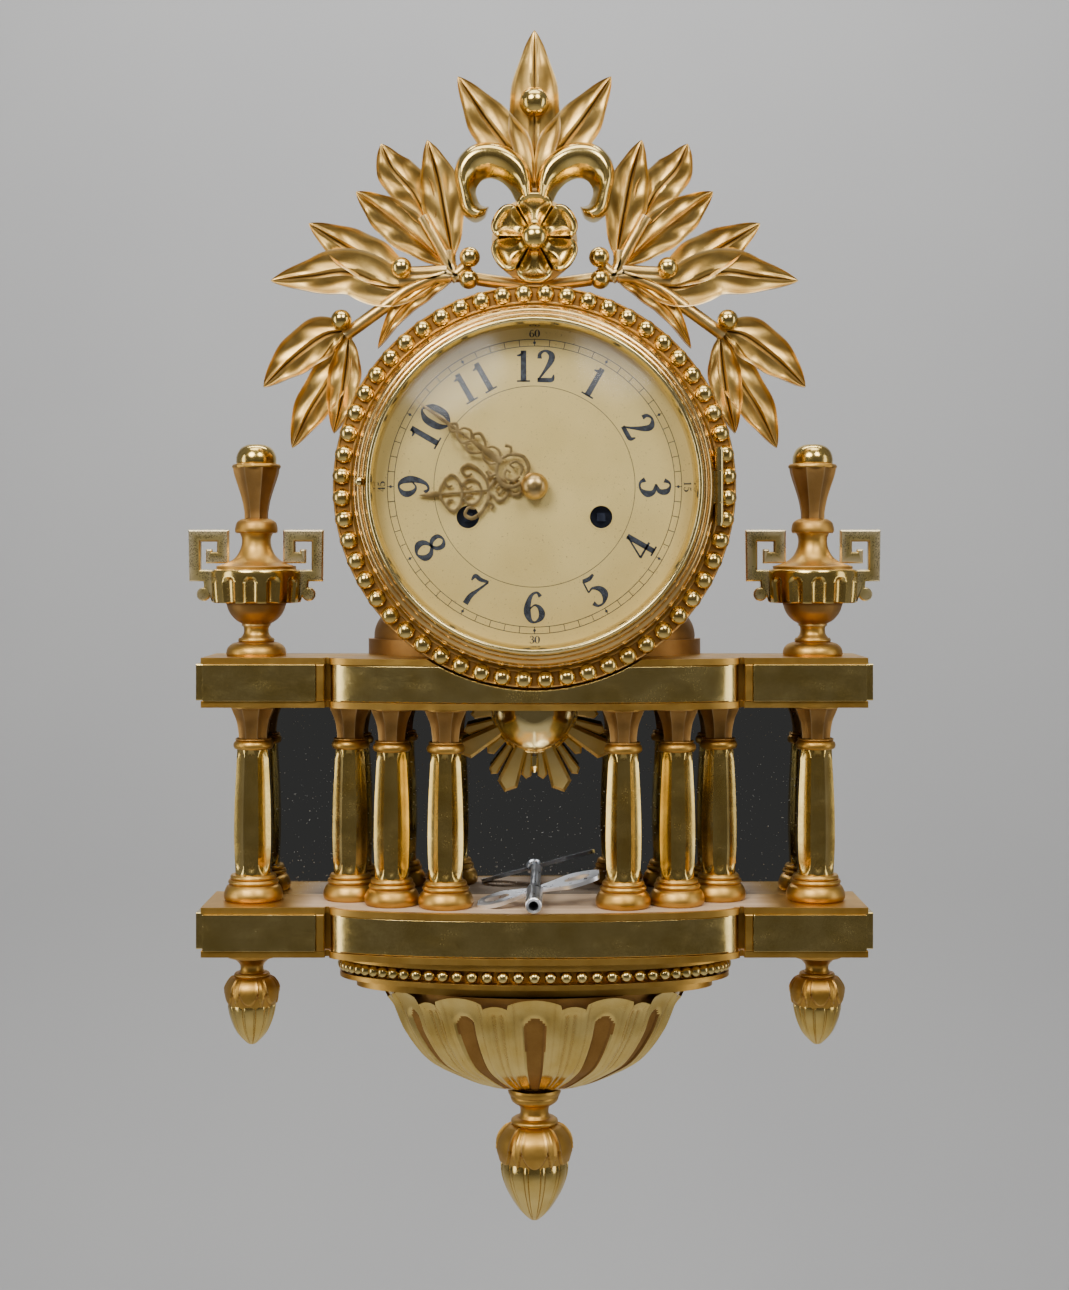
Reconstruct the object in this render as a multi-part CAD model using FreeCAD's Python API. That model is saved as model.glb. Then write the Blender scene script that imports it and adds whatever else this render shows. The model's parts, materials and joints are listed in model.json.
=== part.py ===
import FreeCAD, Part
import math
import os

# Gilt-wood wall clock with a mirror-backed colonnade. Millimetres, +Z up, front faces -Y, +X right.
# Shapes are drawn about the dial's axis with the wall at depth 0 and depth counted towards the front.
# save() then moves every shape so that the hanging hole is the origin.

V = FreeCAD.Vector

# ---- driving dimensions ----
HANGER_ABOVE_DIAL = 66.0
HANGER_THICK = 2.0
HANGER_HOLE_R = 4.0
HANGER_HALF_WIDTH = 12.0
HANGER_HALF_HEIGHT = 15.0
HANGER_SCREW_OFFSET = 11.0
HANGER_SCREW_R = 1.45
NAIL_ROOM_R = 7.5
PIVOT_GAP = 0.06          # radial running clearance of every pivot and sleeve
CLEAR = 0.4               # gap between the door and the case
FIT = 0.05                # gap left between glued pieces
OVER = 1.0                # how far a cutting shape runs past the piece it cuts

CASE_R = 90.0             # drum case
CASE_WALL = 6.0
CASE_FRONT = 59.5
RING_R = 99.2             # wooden front ring
RING_INNER_R = 80.4
RING_BACK = 50.0
RING_FACE = 66.0
BEAD_COUNT = 56
BEAD_R = 4.2
BEAD_CIRCLE_R = 95.0

DIAL_R = 80.0
DIAL_FACE = 68.0
DIAL_THICK = 1.2
WIND_X = 32.75            # winding holes either side of the centre
WIND_Z = -15.0
WIND_HOLE_R = 5.5
DIAL_CENTRE_HOLE_R = 5.0
DIAL_FEET = [(-38, 34), (38, 34), (0, -44)]

BEZEL_R = 87.5
BEZEL_FLANGE_R = 89.6
BEZEL_INNER_R = 78.0
BEZEL_FRONT = 84.0
GLASS_R = 80.5
GLASS_APEX = 95.0
GLASS_EDGE = 79.0
GLASS_THICK = 1.5
HINGE_X = 90.3
HINGE_DEPTH = 72.2
KNUCKLE_R = 2.2
PIN_R = 0.9
HINGE_LEAF_X = 85.0
HINGE_LEAF_THICK = 0.8
LATCH_X = -85.0
LATCH_Z = 2.0
LATCH_R = 2.3
HINGE_TOP = 18.0
HINGE_UPPER_JOINT = 7.5
HINGE_LOWER_JOINT = -7.9
HINGE_BOTTOM = -18.0

SHELF_TOP = -85.0         # upper shelf
SHELF_THICK = 25.0
LOWER_TOP = -210.0        # lower shelf
MOULDING = 3.2
PANEL_INSET = 3.0
BLOCK_OUT_X = 167.0
BLOCK_IN_X = 105.0
BLOCK_DEPTH = 50.0
BOW_HALF = 103.0
BOW_CENTRE = 48.0
BOW_RISE = 22.0
PANEL_PROUD = 1.5
SIDE_PLATE_X = 170.3
POCKET_X = 62.0           # space that the pendulum swings in
SLOT_X = 48.0             # half width of the same space in the plinth and the drum case
POCKET_BACK = 9.0
POCKET_FRONT = 34.5
BOARD_HALF = 150.0
BOARD_THICK = 6.0
MIRROR_THICK = 3.0

END_COLUMN_X = 144.0
END_COLUMN_DEPTH = 25.5
END_COLUMN_RADII = (15.0, 13.5, 10.2)      # base, top flare and shaft
INNER_COLUMN_RADII = (13.9, 11.0, 9.5)
INNER_COLUMNS = [(44.5, 47.0), (72.0, 39.5), (94.5, 23.0)]
URN_X = 142.5
HANDLE_HALF_THICK = 2.0
LOBE_OUT = 26.9           # round end below the handle: distance from the urn's axis, height, radius
LOBE_UP = 31.4
LOBE_R = 3.5
PLINTH_HALF = 87.0
PLINTH_DEPTH = 48.0
PLINTH_TOP = -60.5
PLINTH_SLAB = 8.0
APRON_BOTTOM = -253.0
APRON_HALF = 101.0
APRON_CENTRE = 26.0
APRON_RISE = 42.0
APRON_BEADS = 39
APRON_BEAD_R = 3.1
APRON_BEAD_INSET = 3.4
APRON_BEAD_DROP = 7.0
BOWL_HALF = 77.0
BOWL_BOTTOM = -306.0
BOWL_SQUASH = 0.52
PENDANT_DEPTH = 26.0
PENDANT_TIP = -374.0
SMALL_PENDANT_X = 144.7
SMALL_PENDANT_TIP = -284.0

CREST_BACK = 44.0
CREST_PLANE = 50.0
LEAF_THICK = 7.0
CREST_BLOCK_HALF = 15.0
CREST_BLOCK_TOP = 150.0
SCROLL_DEPTH = 57.0
SCROLL_R = 5.8
ROSETTE_Z = 123.5
ROSETTE_R = 22.5
TOP_BALL_Z = 192.0
TOP_BALL_R = 7.5
BERRY_INSET = 1.5         # how far a berry's centre stands in front of the leaves

PLATE_HALF = 52.0         # movement plates
PLATE_TOP = 48.0
PLATE_BOTTOM = -54.0
BACK_PLATE = 36.0
FRONT_PLATE = 59.5
PLATE_THICK = 1.5
SHAKE = 0.3
ARBOR_R = 1.5
PIVOT_R = 0.8
BARREL_TEETH = 72
CENTRE_PINION_TEETH = 12
WHEEL_TEETH = 64
THIRD_TEETH = 60
LEAVES = 8
WHEEL_MODULE = 0.5
THIRD_MODULE = 0.4
ESCAPE_TEETH = 30
ESCAPE_R = 9.0
ESCAPE_Z = 27.0
SWING_Z = 40.0            # pendulum and anchor axis
ROD_DEPTH = 19.5
BOB_Z = -113.0
BOB_R = 22.5
RAY_R = 45.0
SHORT_RAY_R = 38.0
RAY_COUNT = 9
RAY_THICK = 1.6
ROD_R = 1.2
MOTION_DISTANCE = 12.0    # hand arbor to minute wheel
CANNON_TEETH, MINUTE_TEETH = 12, 36
MINUTE_LEAVES, HOUR_TEETH = 10, 40
HAND_HOUR_ANGLE = 265.5
HAND_MINUTE_ANGLE = 306.0
HOUR_HAND = 57.0
MINUTE_HAND = 73.0
HAND_THICK = 0.8
HOUR_HAND_BACK = 69.3
MINUTE_HAND_BACK = 71.4
CANNON_R = 2.45           # pipe that carries the minute hand
HOUR_PIPE_R = 3.6
HAND_NUT_R = 6.75
HAND_NUT_FRONT = 79.2

# Depth ranges of the wheels, back to front
THIRD_WHEEL_LAYER = (38.3, 39.3)
ESCAPE_PINION_LAYER = (38.0, 40.0)
ESCAPE_LAYER = (44.0, 45.2)
STRIKE_WHEEL_LAYER = (41.0, 43.0)
STRIKE_DRUM_LAYER = (43.0, 55.0)
GOING_DRUM_LAYER = (40.5, 53.0)
GOING_WHEEL_LAYER = (53.0, 55.0)
CENTRE_PINION_LAYER = (52.7, 55.3)
THIRD_PINION_LAYER = (55.6, 57.8)
CENTRE_WHEEL_LAYER = (56.2, 57.2)
CANNON_LAYER = (61.4, 63.6)
MINUTE_WHEEL_LAYER = (62.0, 63.0)
MINUTE_LEAF_LAYER = (63.0, 65.8)
HOUR_WHEEL_LAYER = (64.2, 65.4)
CRUTCH_LAYER = (32.0, 33.2)
GONG_LAYER = (10.0, 11.8)
GONG_PITCH = 6.0
GONG_START_R = 12.0
GONG_TURNS = 9            # half turns
GONG_Z = -8.0
DRUM_R = 25.5
WINDING_R = 3.5
SQUARE_HALF = 2.0
RATCHET_TEETH = 24
STUD_R = 1.0
PILLAR_R = 2.6
PILLARS = [(47.5, 43.0), (-47.5, 43.0), (47.5, -49.0), (-47.5, -49.0)]
HAMMER_X = 44.0
HAMMER_Z = 30.0
HAMMER_HEAD = (47.0, -4.0)
HAMMER_HEAD_R = 3.4

KEY_FRONT_END = (-0.5, 72.0, -205.4)
KEY_BACK_END = (1.0, 10.4, -196.2)
KEY_BARREL_R = 4.2
KEY_BARREL_LENGTH = 26.0
KEY_SMALL_R = 2.6
KEY_SOCKET_DEPTH = 13.0
KEY_WING_THICK = 1.4
KEY_ROLL = 15.0

BARREL_DISTANCE = math.hypot(WIND_X, WIND_Z)
BARREL_MODULE = 2 * BARREL_DISTANCE / (BARREL_TEETH + CENTRE_PINION_TEETH)


# ---- frame and basic solids ----
def at(x, depth, z):
    return V(x, -depth, z)


def save(name, shape):
    placed = shape.copy()
    placed.translate(V(0, HANGER_THICK / 2, -HANGER_ABOVE_DIAL))
    placed.exportStep("parts/" + name + ".step")


def group(shapes):
    return Part.makeCompound(shapes)


def fuse(shapes):
    return shapes[0].multiFuse(shapes[1:]).removeSplitter()


def box(x0, x1, depth0, depth1, z0, z1):
    return Part.makeBox(x1 - x0, depth1 - depth0, z1 - z0, at(x0, depth1, z0))


def disc(x, z, radius, depth0, depth1):
    """Round bar along the depth direction."""
    return Part.makeCylinder(radius, depth1 - depth0, at(x, depth0, z), V(0, -1, 0))


def post(x, depth, radius, z0, z1):
    """Upright round bar."""
    return Part.makeCylinder(radius, z1 - z0, at(x, depth, z0))


def mirrored(shape):
    return shape.mirror(V(0, 0, 0), V(1, 0, 0))


def outline(start, steps, place):
    """Closed wire: a step is an end point, or a pair of a point on an arc and the arc's end."""
    edges = []
    here = start
    for step in steps + [start]:
        is_arc = isinstance(step[0], tuple)
        end = step[1] if is_arc else step
        if is_arc:
            edges.append(Part.Arc(place(*here), place(*step[0]), place(*end)).toBSpline().toShape())
        elif math.dist(here, end) > 1e-6:
            edges.append(Part.makeLine(place(*here), place(*end)))
        here = end
    return Part.Face(Part.Wire(edges))


def turned(start, steps, x, depth):
    """Solid turned about an upright axis; points are (radius, height)."""
    face = outline(start, steps, lambda r, z: at(x + r, depth, z))
    return face.revolve(at(x, depth, 0), V(0, 0, 1), 360)


def turned_flat(start, steps, x=0.0, z=0.0):
    """Solid turned about an axis along the depth; points are (radius, depth)."""
    face = outline(start, steps, lambda r, d: at(x + r, d, z))
    return face.revolve(at(x, 0, z), V(0, 1, 0), 360)


def plate(points, depth0, depth1):
    """Flat piece parallel to the wall; points are (x, z)."""
    corners = [at(x, depth0, z) for x, z in points]
    face = Part.Face(Part.makePolygon(corners + corners[:1]))
    return face.extrude(V(0, depth0 - depth1, 0))


def polar(radius, degrees):
    """Point at a clock angle: 0 is up, clockwise as seen from the front."""
    angle = math.radians(degrees)
    return (radius * math.sin(angle), radius * math.cos(angle))


def toothed(x, z, count, module, depth0, depth1, share, turn=0.0):
    """Spur wheel with straight-sided teeth; a tooth is centred on the angle turn, in degrees."""
    pitch_r = count * module / 2
    step = 2 * math.pi / count
    half = share * step / 2
    points = []
    for tooth in range(count):
        middle = math.radians(turn) + tooth * step
        for radius, offset in ((pitch_r - 1.2 * module, -1.35 * half), (pitch_r + 0.75 * module, -0.55 * half),
                               (pitch_r + 0.75 * module, 0.55 * half), (pitch_r - 1.2 * module, 1.35 * half)):
            points.append((x + radius * math.cos(middle + offset), z + radius * math.sin(middle + offset)))
    return plate(points, depth0, depth1)


def direction(x0, z0, x1, z1):
    return math.degrees(math.atan2(z1 - z0, x1 - x0))


# ---- hanging and case ----
def hanger_blank(depth0):
    return box(-HANGER_HALF_WIDTH, HANGER_HALF_WIDTH, depth0, HANGER_THICK,
               HANGER_ABOVE_DIAL - HANGER_HALF_HEIGHT, HANGER_ABOVE_DIAL + HANGER_HALF_HEIGHT)


def hanger_screw_bars(radius, depth0, depth1):
    return [disc(0, HANGER_ABOVE_DIAL + side * HANGER_SCREW_OFFSET, radius, depth0, depth1) for side in (-1, 1)]


def hanger_plate():
    hole = disc(0, HANGER_ABOVE_DIAL, HANGER_HOLE_R, -OVER, HANGER_THICK + OVER)
    screw_holes = hanger_screw_bars(HANGER_SCREW_R + FIT, -OVER, HANGER_THICK + OVER)
    return hanger_blank(0).cut(group([hole] + screw_holes))


def hanger_screws():
    return group(hanger_screw_bars(HANGER_SCREW_R, 0.2, CASE_WALL - 0.5))


def drum_case():
    wall = disc(0, 0, CASE_R, 0, CASE_FRONT).cut(disc(0, 0, CASE_R - CASE_WALL, CASE_WALL, CASE_FRONT + OVER))
    nail_room = disc(0, HANGER_ABOVE_DIAL, NAIL_ROOM_R, -OVER, CASE_WALL + OVER)
    slot = box(-SLOT_X, SLOT_X, 2 * CASE_WALL, POCKET_FRONT, -CASE_R - OVER, -SLOT_X - 10)
    screw_holes = hanger_screw_bars(HANGER_SCREW_R, 0, CASE_WALL - 0.5)
    return wall.cut(group([hanger_blank(-OVER), nail_room, slot] + screw_holes))


def front_ring():
    bore = CASE_R + FIT
    seat = CASE_FRONT + 2
    ring = turned_flat((RING_INNER_R, seat), [(bore, seat), (bore, RING_BACK), (RING_R - 2, RING_BACK),
                       (RING_R, RING_BACK + 2), (RING_R, RING_FACE - 1), (RING_R - 1, RING_FACE),
                       (RING_INNER_R, RING_FACE)])
    leaf_recess = box(HINGE_LEAF_X - 1, HINGE_X + 2.7, RING_FACE - HINGE_LEAF_THICK - 0.1, RING_FACE + OVER,
                      HINGE_BOTTOM - 1, HINGE_TOP + 1)
    return ring.cut(leaf_recess)


def bead(index):
    x, z = polar(BEAD_CIRCLE_R, (index + 0.5) * 360 / BEAD_COUNT)
    ball = Part.makeSphere(BEAD_R, at(x, RING_FACE, z))
    reach = BEAD_R + OVER
    return ball.common(box(x - reach, x + reach, RING_FACE, RING_FACE + reach, z - reach, z + reach))


def ring_beads():
    return group([bead(index) for index in range(BEAD_COUNT)])


# ---- shelves ----
def shelf_plan(inset):
    """Shelf outline: a rectangular block at each end and an elliptical bow between them."""
    out_x = BLOCK_OUT_X - inset
    in_x = BLOCK_IN_X + inset
    bow = BOW_HALF - inset
    front = BLOCK_DEPTH - inset
    notch = BLOCK_DEPTH - 4 - inset
    ellipse = Part.Ellipse(at(0, BOW_CENTRE - inset, 0), bow, BOW_RISE)
    arc = Part.ArcOfEllipse(ellipse, math.pi, 2 * math.pi)
    left = [(-bow, BOW_CENTRE - inset), (-bow, notch), (-in_x, notch), (-in_x, front), (-out_x, front),
            (-out_x, 0)]
    corners = [at(x, d, 0) for x, d in left] + [at(-x, d, 0) for x, d in reversed(left)]
    return Part.Wire([arc.toShape()] + Part.makePolygon(corners).Edges)


def shelf_layer(inset, z0, z1):
    face = Part.Face(shelf_plan(inset))
    face.translate(V(0, 0, z0))
    return face.extrude(V(0, 0, z1 - z0))


def shelf(top):
    bottom = top - SHELF_THICK
    body = fuse([shelf_layer(0, top - MOULDING, top), shelf_layer(0, bottom, bottom + MOULDING),
                 shelf_layer(PANEL_INSET, bottom + MOULDING, top - MOULDING)])
    return body.cut(box(-BOARD_HALF, BOARD_HALF, -OVER, BOARD_THICK, bottom - OVER, top + OVER))


def drum_room():
    """Space that the drum case and its front ring take out of the pieces around them."""
    return fuse([disc(0, 0, CASE_R + FIT, -OVER, RING_BACK),
                 disc(0, 0, RING_R + 1, RING_BACK - FIT, GLASS_APEX)])


def upper_shelf():
    room = box(-POCKET_X, POCKET_X, POCKET_BACK, POCKET_FRONT, SHELF_TOP - SHELF_THICK - OVER, SHELF_TOP + OVER)
    return shelf(SHELF_TOP).cut(drum_room()).cut(room)


def bow_strip(top):
    bottom = top - SHELF_THICK
    z0 = bottom + MOULDING + 0.3
    z1 = top - MOULDING - 0.3
    outer = shelf_layer(0.7, z0, z1)
    inner = shelf_layer(PANEL_INSET, z0 - OVER, z1 + OVER)
    reach = BOW_HALF - 6
    front = box(-reach, reach, BLOCK_DEPTH - 2, BOW_CENTRE + BOW_RISE + OVER, z0 - OVER, z1 + OVER)
    return outer.cut(inner).common(front)


def block_panels(top):
    z0 = top - SHELF_THICK + MOULDING + 0.1
    z1 = top - MOULDING - 0.1
    back = BLOCK_DEPTH - PANEL_INSET
    front = box(BLOCK_IN_X + 4.5, BLOCK_OUT_X - 1, back, BLOCK_DEPTH + PANEL_PROUD, z0, z1)
    side = box(BLOCK_OUT_X - PANEL_INSET, SIDE_PLATE_X, 4, BLOCK_DEPTH - 5, z0, z1)
    return [front, side, mirrored(front), mirrored(side)]


def upper_panels():
    return group(block_panels(SHELF_TOP) + bow_strip(SHELF_TOP).cut(drum_room()).Solids)


def lower_panels():
    return group(block_panels(LOWER_TOP) + bow_strip(LOWER_TOP).Solids)


def back_board():
    return box(-BOARD_HALF, BOARD_HALF, 0, BOARD_THICK, LOWER_TOP - SHELF_THICK, SHELF_TOP).cut(drum_room())


def mirror_glass():
    edge = BOARD_HALF - 1
    return box(-edge, edge, BOARD_THICK, BOARD_THICK + MIRROR_THICK, LOWER_TOP, SHELF_TOP - SHELF_THICK)


# ---- turned ornaments ----
def column(x, depth, base_r, flare_r, shaft_r):
    z = LOWER_TOP
    height = SHELF_TOP - SHELF_THICK - LOWER_TOP
    foot = shaft_r - 1.2
    neck = shaft_r - 2.6
    return turned((0, z), [(base_r - 1, z), ((base_r, z + 4), (base_r - 1.5, z + 8.5)), (base_r - 3, z + 9),
                           (base_r - 3, z + 13), (foot, z + 14), ((shaft_r, z + 38), (neck, z + 76)),
                           (neck + 1.6, z + 77), (neck + 1.6, z + 81.5), (neck, z + 82.5),
                           ((neck + 1.2, z + 91), (flare_r, z + height)), (0, z + height)], x, depth)


def end_columns():
    right = column(END_COLUMN_X, END_COLUMN_DEPTH, *END_COLUMN_RADII)
    return group([right, mirrored(right)])


def inner_columns():
    right = [column(x, depth, *INNER_COLUMN_RADII) for x, depth in INNER_COLUMNS]
    return group(right + [mirrored(one) for one in right])


def urn(x):
    z = SHELF_TOP
    return turned((0, z), [(15, z), ((14.5, z + 4.5), (10.5, z + 8.5)), ((6, z + 13), (8, z + 18)),
                           ((15, z + 21.5), (20.5, z + 28)), (23, z + 29), (23, z + 44.5), (21, z + 46),
                           ((11, z + 50), (7.5, z + 59.5)), (8.5, z + 61), ((11, z + 64), (8.5, z + 67)),
                           (6.2, z + 70), ((8, z + 84), (12.3, z + 95.5)), (9, z + 96.5),
                           ((10, z + 103), (0, z + 108.3))], x, END_COLUMN_DEPTH)


def urns():
    right = urn(URN_X)
    return group([right, mirrored(right)])


# Square-scroll handle: distance from the urn's axis and height above the shelf
HANDLE_OUTLINE = [(13.9, 64.3), (34.6, 64.3), (34.2, 38.0), (26.9, 38.0), (26.9, 27.9), (21.8, 27.4), (21.8, 43.9),
                  (28.4, 43.9), (28.4, 58.3), (20.0, 58.3), (20.0, 53.1), (22.5, 53.1), (22.5, 54.4), (25.6, 54.4),
                  (25.6, 47.2), (13.9, 47.2)]


def handle(x, side):
    back = END_COLUMN_DEPTH - HANDLE_HALF_THICK
    front = END_COLUMN_DEPTH + HANDLE_HALF_THICK
    scroll = plate([(x + side * out, SHELF_TOP + up) for out, up in HANDLE_OUTLINE], back, front)
    return fuse([scroll, disc(x + side * LOBE_OUT, SHELF_TOP + LOBE_UP, LOBE_R, back, front)])


def urn_handles():
    right = [handle(URN_X, side).cut(urn(URN_X)) for side in (-1, 1)]
    return group(right + [mirrored(one) for one in right])


def plinth():
    squash = FreeCAD.Matrix()
    squash.A22 = PLINTH_DEPTH / PLINTH_HALF
    top = PLINTH_TOP
    slab = SHELF_TOP + PLINTH_SLAB
    form = turned((0, SHELF_TOP), [(PLINTH_HALF, SHELF_TOP), (PLINTH_HALF, slab), (PLINTH_HALF - 3, slab),
                                   ((PLINTH_HALF - 6, top - 6), (PLINTH_HALF - 17, top)), (0, top)], 0, 0)
    form = form.transformGeometry(squash)
    front = box(-PLINTH_HALF - OVER, PLINTH_HALF + OVER, 0, PLINTH_DEPTH + OVER, SHELF_TOP - OVER, 0)
    swing_room = box(-SLOT_X, SLOT_X, -OVER, POCKET_FRONT, SHELF_TOP - OVER, 0)
    return form.common(front).cut(drum_room()).cut(swing_room)


def apron_layer(inset, z0, z1):
    half = APRON_HALF - inset
    rise = APRON_RISE - inset
    arc = Part.ArcOfEllipse(Part.Ellipse(at(0, APRON_CENTRE, 0), half, rise), math.pi, 2 * math.pi)
    back = [at(-half, APRON_CENTRE, 0), at(-half, 0, 0), at(half, 0, 0), at(half, APRON_CENTRE, 0)]
    face = Part.Face(Part.Wire([arc.toShape()] + Part.makePolygon(back).Edges))
    face.translate(V(0, 0, z0))
    return face.extrude(V(0, 0, z1 - z0))


def apron():
    top = LOWER_TOP - SHELF_THICK
    return fuse([apron_layer(0, top - 3.5, top), apron_layer(7.2, top - 10.5, top - 3.5),
                 apron_layer(1.5, top - 13, top - 10.5), apron_layer(10, APRON_BOTTOM, top - 13)])


def apron_beads():
    z = LOWER_TOP - SHELF_THICK - APRON_BEAD_DROP
    half = APRON_HALF - APRON_BEAD_INSET
    rise = APRON_RISE - APRON_BEAD_INSET
    beads = []
    for index in range(APRON_BEADS):
        angle = math.pi * (index + 0.5) / APRON_BEADS
        depth = APRON_CENTRE + rise * math.sin(angle)
        beads.append(Part.makeSphere(APRON_BEAD_R, at(-half * math.cos(angle), depth, z)))
    return group(beads)


def bowl():
    squash = FreeCAD.Matrix()
    squash.A22 = BOWL_SQUASH
    form = turned((0, BOWL_BOTTOM), [(14, BOWL_BOTTOM), ((58, -291), (BOWL_HALF, APRON_BOTTOM)),
                                     (0, APRON_BOTTOM)], 0, 0)
    form = form.transformGeometry(squash)
    form.translate(V(0, -PENDANT_DEPTH, 0))
    return form.common(box(-BOWL_HALF - OVER, BOWL_HALF + OVER, 0, BOWL_HALF, BOWL_BOTTOM, APRON_BOTTOM))


def bowl_pendant():
    z = BOWL_BOTTOM
    return turned((0, z), [(13.5, z), ((13.9, z - 4), (12, z - 8)), (7.5, z - 11), (7.5, z - 15), (11, z - 17),
                           (11, z - 20), (13, z - 22), ((20, z - 32), (18.5, z - 42)), (17, z - 43),
                           ((15, z - 58), (0, PENDANT_TIP))], 0, PENDANT_DEPTH)


def small_pendants():
    z = LOWER_TOP - SHELF_THICK
    right = turned((0, z), [(14, z), (14, z - 4), (8, z - 7), (6, z - 9), (6, z - 12),
                            ((14, z - 19), (13, z - 28)), (12, z - 29), ((11, z - 40), (0, SMALL_PENDANT_TIP))],
                   SMALL_PENDANT_X, END_COLUMN_DEPTH)
    return group([right, mirrored(right)])


# ---- crest ----
def leaf(root, tip, half_width, depth0, thick):
    """Pointed leaf between two arcs."""
    length = math.dist(root, tip)
    across = (-(tip[1] - root[1]) / length, (tip[0] - root[0]) / length)
    middle = (root[0] + 0.52 * (tip[0] - root[0]), root[1] + 0.52 * (tip[1] - root[1]))
    side_a = (middle[0] + across[0] * half_width, middle[1] + across[1] * half_width)
    side_b = (middle[0] - across[0] * half_width, middle[1] - across[1] * half_width)
    face = outline(root, [(side_a, tip), (side_b, root)], lambda x, z: at(x, depth0, z))
    return face.extrude(V(0, -thick, 0))


def stem(start, end, half_width, depth0, thick):
    length = math.dist(start, end)
    across = (-(end[1] - start[1]) / length * half_width, (end[0] - start[0]) / length * half_width)
    points = [(start[0] + across[0], start[1] + across[1]), (end[0] + across[0], end[1] + across[1]),
              (end[0] - across[0], end[1] - across[1]), (start[0] - across[0], start[1] - across[1])]
    return plate(points, depth0, depth0 + thick)


# Leaves of the right spray: root, tip, half width
SPRAY_LEAVES = [((56.5, 136.5), (76.8, 171.5), 9.0), ((41.0, 116.5), (54.8, 173.8), 9.0),
                ((45.0, 114.5), (89.2, 147.5), 8.5), ((62.0, 103.5), (111.8, 132.0), 10.0),
                ((58.0, 103.0), (131.5, 104.0), 11.0), ((42.0, 108.5), (78.5, 69.5), 4.6),
                ((94.0, 79.5), (135.5, 50.5), 9.0), ((94.5, 74.5), (121.0, 20.0), 8.0),
                ((91.5, 74.5), (100.8, 27.5), 7.5)]
SPRAY_STEMS = [((4, 101.5), (42, 110), 2.2), ((41, 109), (62, 104.5), 3.5), ((41, 113), (58, 138), 3.0),
               ((60, 102), (78, 91), 3.0), ((77, 92), (95, 77), 3.5), ((92, 78), (96, 66), 3.0)]


def spray():
    pieces = [leaf(root, tip, half, CREST_BACK, LEAF_THICK) for root, tip, half in SPRAY_LEAVES]
    pieces += [stem(start, end, half, CREST_BACK, LEAF_THICK) for start, end, half in SPRAY_STEMS]
    return fuse(pieces)


def spray_right():
    return spray().cut(crest_block()).cut(rosette())


def spray_left():
    return mirrored(spray_right())


def crest_block():
    blank = box(-CREST_BLOCK_HALF, CREST_BLOCK_HALF, 20, CREST_PLANE, CASE_R - 10, CREST_BLOCK_TOP)
    case = disc(0, 0, CASE_R + FIT, 0, RING_FACE)
    ring = disc(0, 0, RING_R + FIT, RING_BACK - 2 * FIT, RING_FACE)
    return blank.cut(case).cut(ring)


def palmette():
    centre = leaf((0, 150), (0, 229.5), 11.0, CREST_BACK, LEAF_THICK)
    right = leaf((1, 154), (38.5, 206.5), 10.0, CREST_BACK, LEAF_THICK)
    return fuse([centre, right, mirrored(right)]).cut(crest_block())


def crest_scrolls():
    """Pair of C-scrolls above the rosette, round in section."""
    line = [(7, 146), (18.5, 166.5), (33.8, 155), (34.8, 146.5), (31.5, 140)]
    stops = [at(x, SCROLL_DEPTH, z) for x, z in line]
    path = Part.Wire([Part.Arc(*stops[:3]).toShape(), Part.Arc(*stops[2:]).toShape()])
    section = Part.Wire(Part.makeCircle(SCROLL_R, stops[0], path.Edges[0].tangentAt(0)))
    tube = path.makePipeShell([section], True, True)
    right = tube if tube.isValid() else Part.Solid(tube)
    tip = leaf((36.5, 139), (22.5, 144.0), 5.0, SCROLL_DEPTH - 5, 8)
    right = fuse([right, tip]).cut(rosette())
    return group([right, mirrored(right)])


def rosette():
    rim = ROSETTE_R
    return turned_flat((0, CREST_PLANE), [(rim - 2.5, CREST_PLANE), (rim, 55), (rim - 0.5, 58), (12, 62),
                                          (6.5, 63), ((5, 68), (0, 70))], 0, ROSETTE_Z)


# Berries of the right side: x, z, radius
BERRIES = [(32.3, 115, 5.2), (32.8, 104, 5.0), (66.5, 109.8, 5.3), (96.4, 83.8, 5.2)]


def crest_berries():
    front = CREST_BACK + LEAF_THICK
    balls = []
    for x, z, radius in BERRIES:
        ball = Part.makeSphere(radius, at(x, front + BERRY_INSET, z))
        balls += [ball, mirrored(ball)]
    balls.append(Part.makeSphere(TOP_BALL_R, at(0, front + 2 * BERRY_INSET, TOP_BALL_Z)))
    leaves = box(-2 * RING_R, 2 * RING_R, 0, front, 0, TOP_BALL_Z + TOP_BALL_R + OVER)
    return group([ball.cut(leaves) for ball in balls])


# ---- door ----
def bezel_ring():
    back = RING_FACE + CLEAR
    return turned_flat((BEZEL_INNER_R, DIAL_FACE + CLEAR), [(DIAL_R + 0.6, DIAL_FACE + CLEAR), (DIAL_R + 0.6, back),
                       (BEZEL_FLANGE_R, back), (BEZEL_FLANGE_R, 69.5), (BEZEL_R, 69.5), (BEZEL_R, 73),
                       ((86.6, 77.4), (83.6, 80)), (83.6, 81.5), ((83, BEZEL_FRONT), (81.2, 83.2)),
                       (GLASS_R + 0.2, 81.6), (GLASS_R + 0.2, GLASS_EDGE - 0.2), (BEZEL_INNER_R, GLASS_EDGE - 0.2)])


def glass():
    sag = GLASS_APEX - GLASS_EDGE - GLASS_THICK
    inner_mid = 0.75 * sag + GLASS_EDGE
    outer_mid = 0.75 * sag + GLASS_EDGE + GLASS_THICK
    half = GLASS_R / 2
    return turned_flat((0, GLASS_EDGE + sag), [((half, inner_mid), (GLASS_R - 2.5, GLASS_EDGE)),
                       (GLASS_R, GLASS_EDGE), (GLASS_R, GLASS_EDGE + GLASS_THICK),
                       ((half, outer_mid), (0, GLASS_APEX))])


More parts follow.
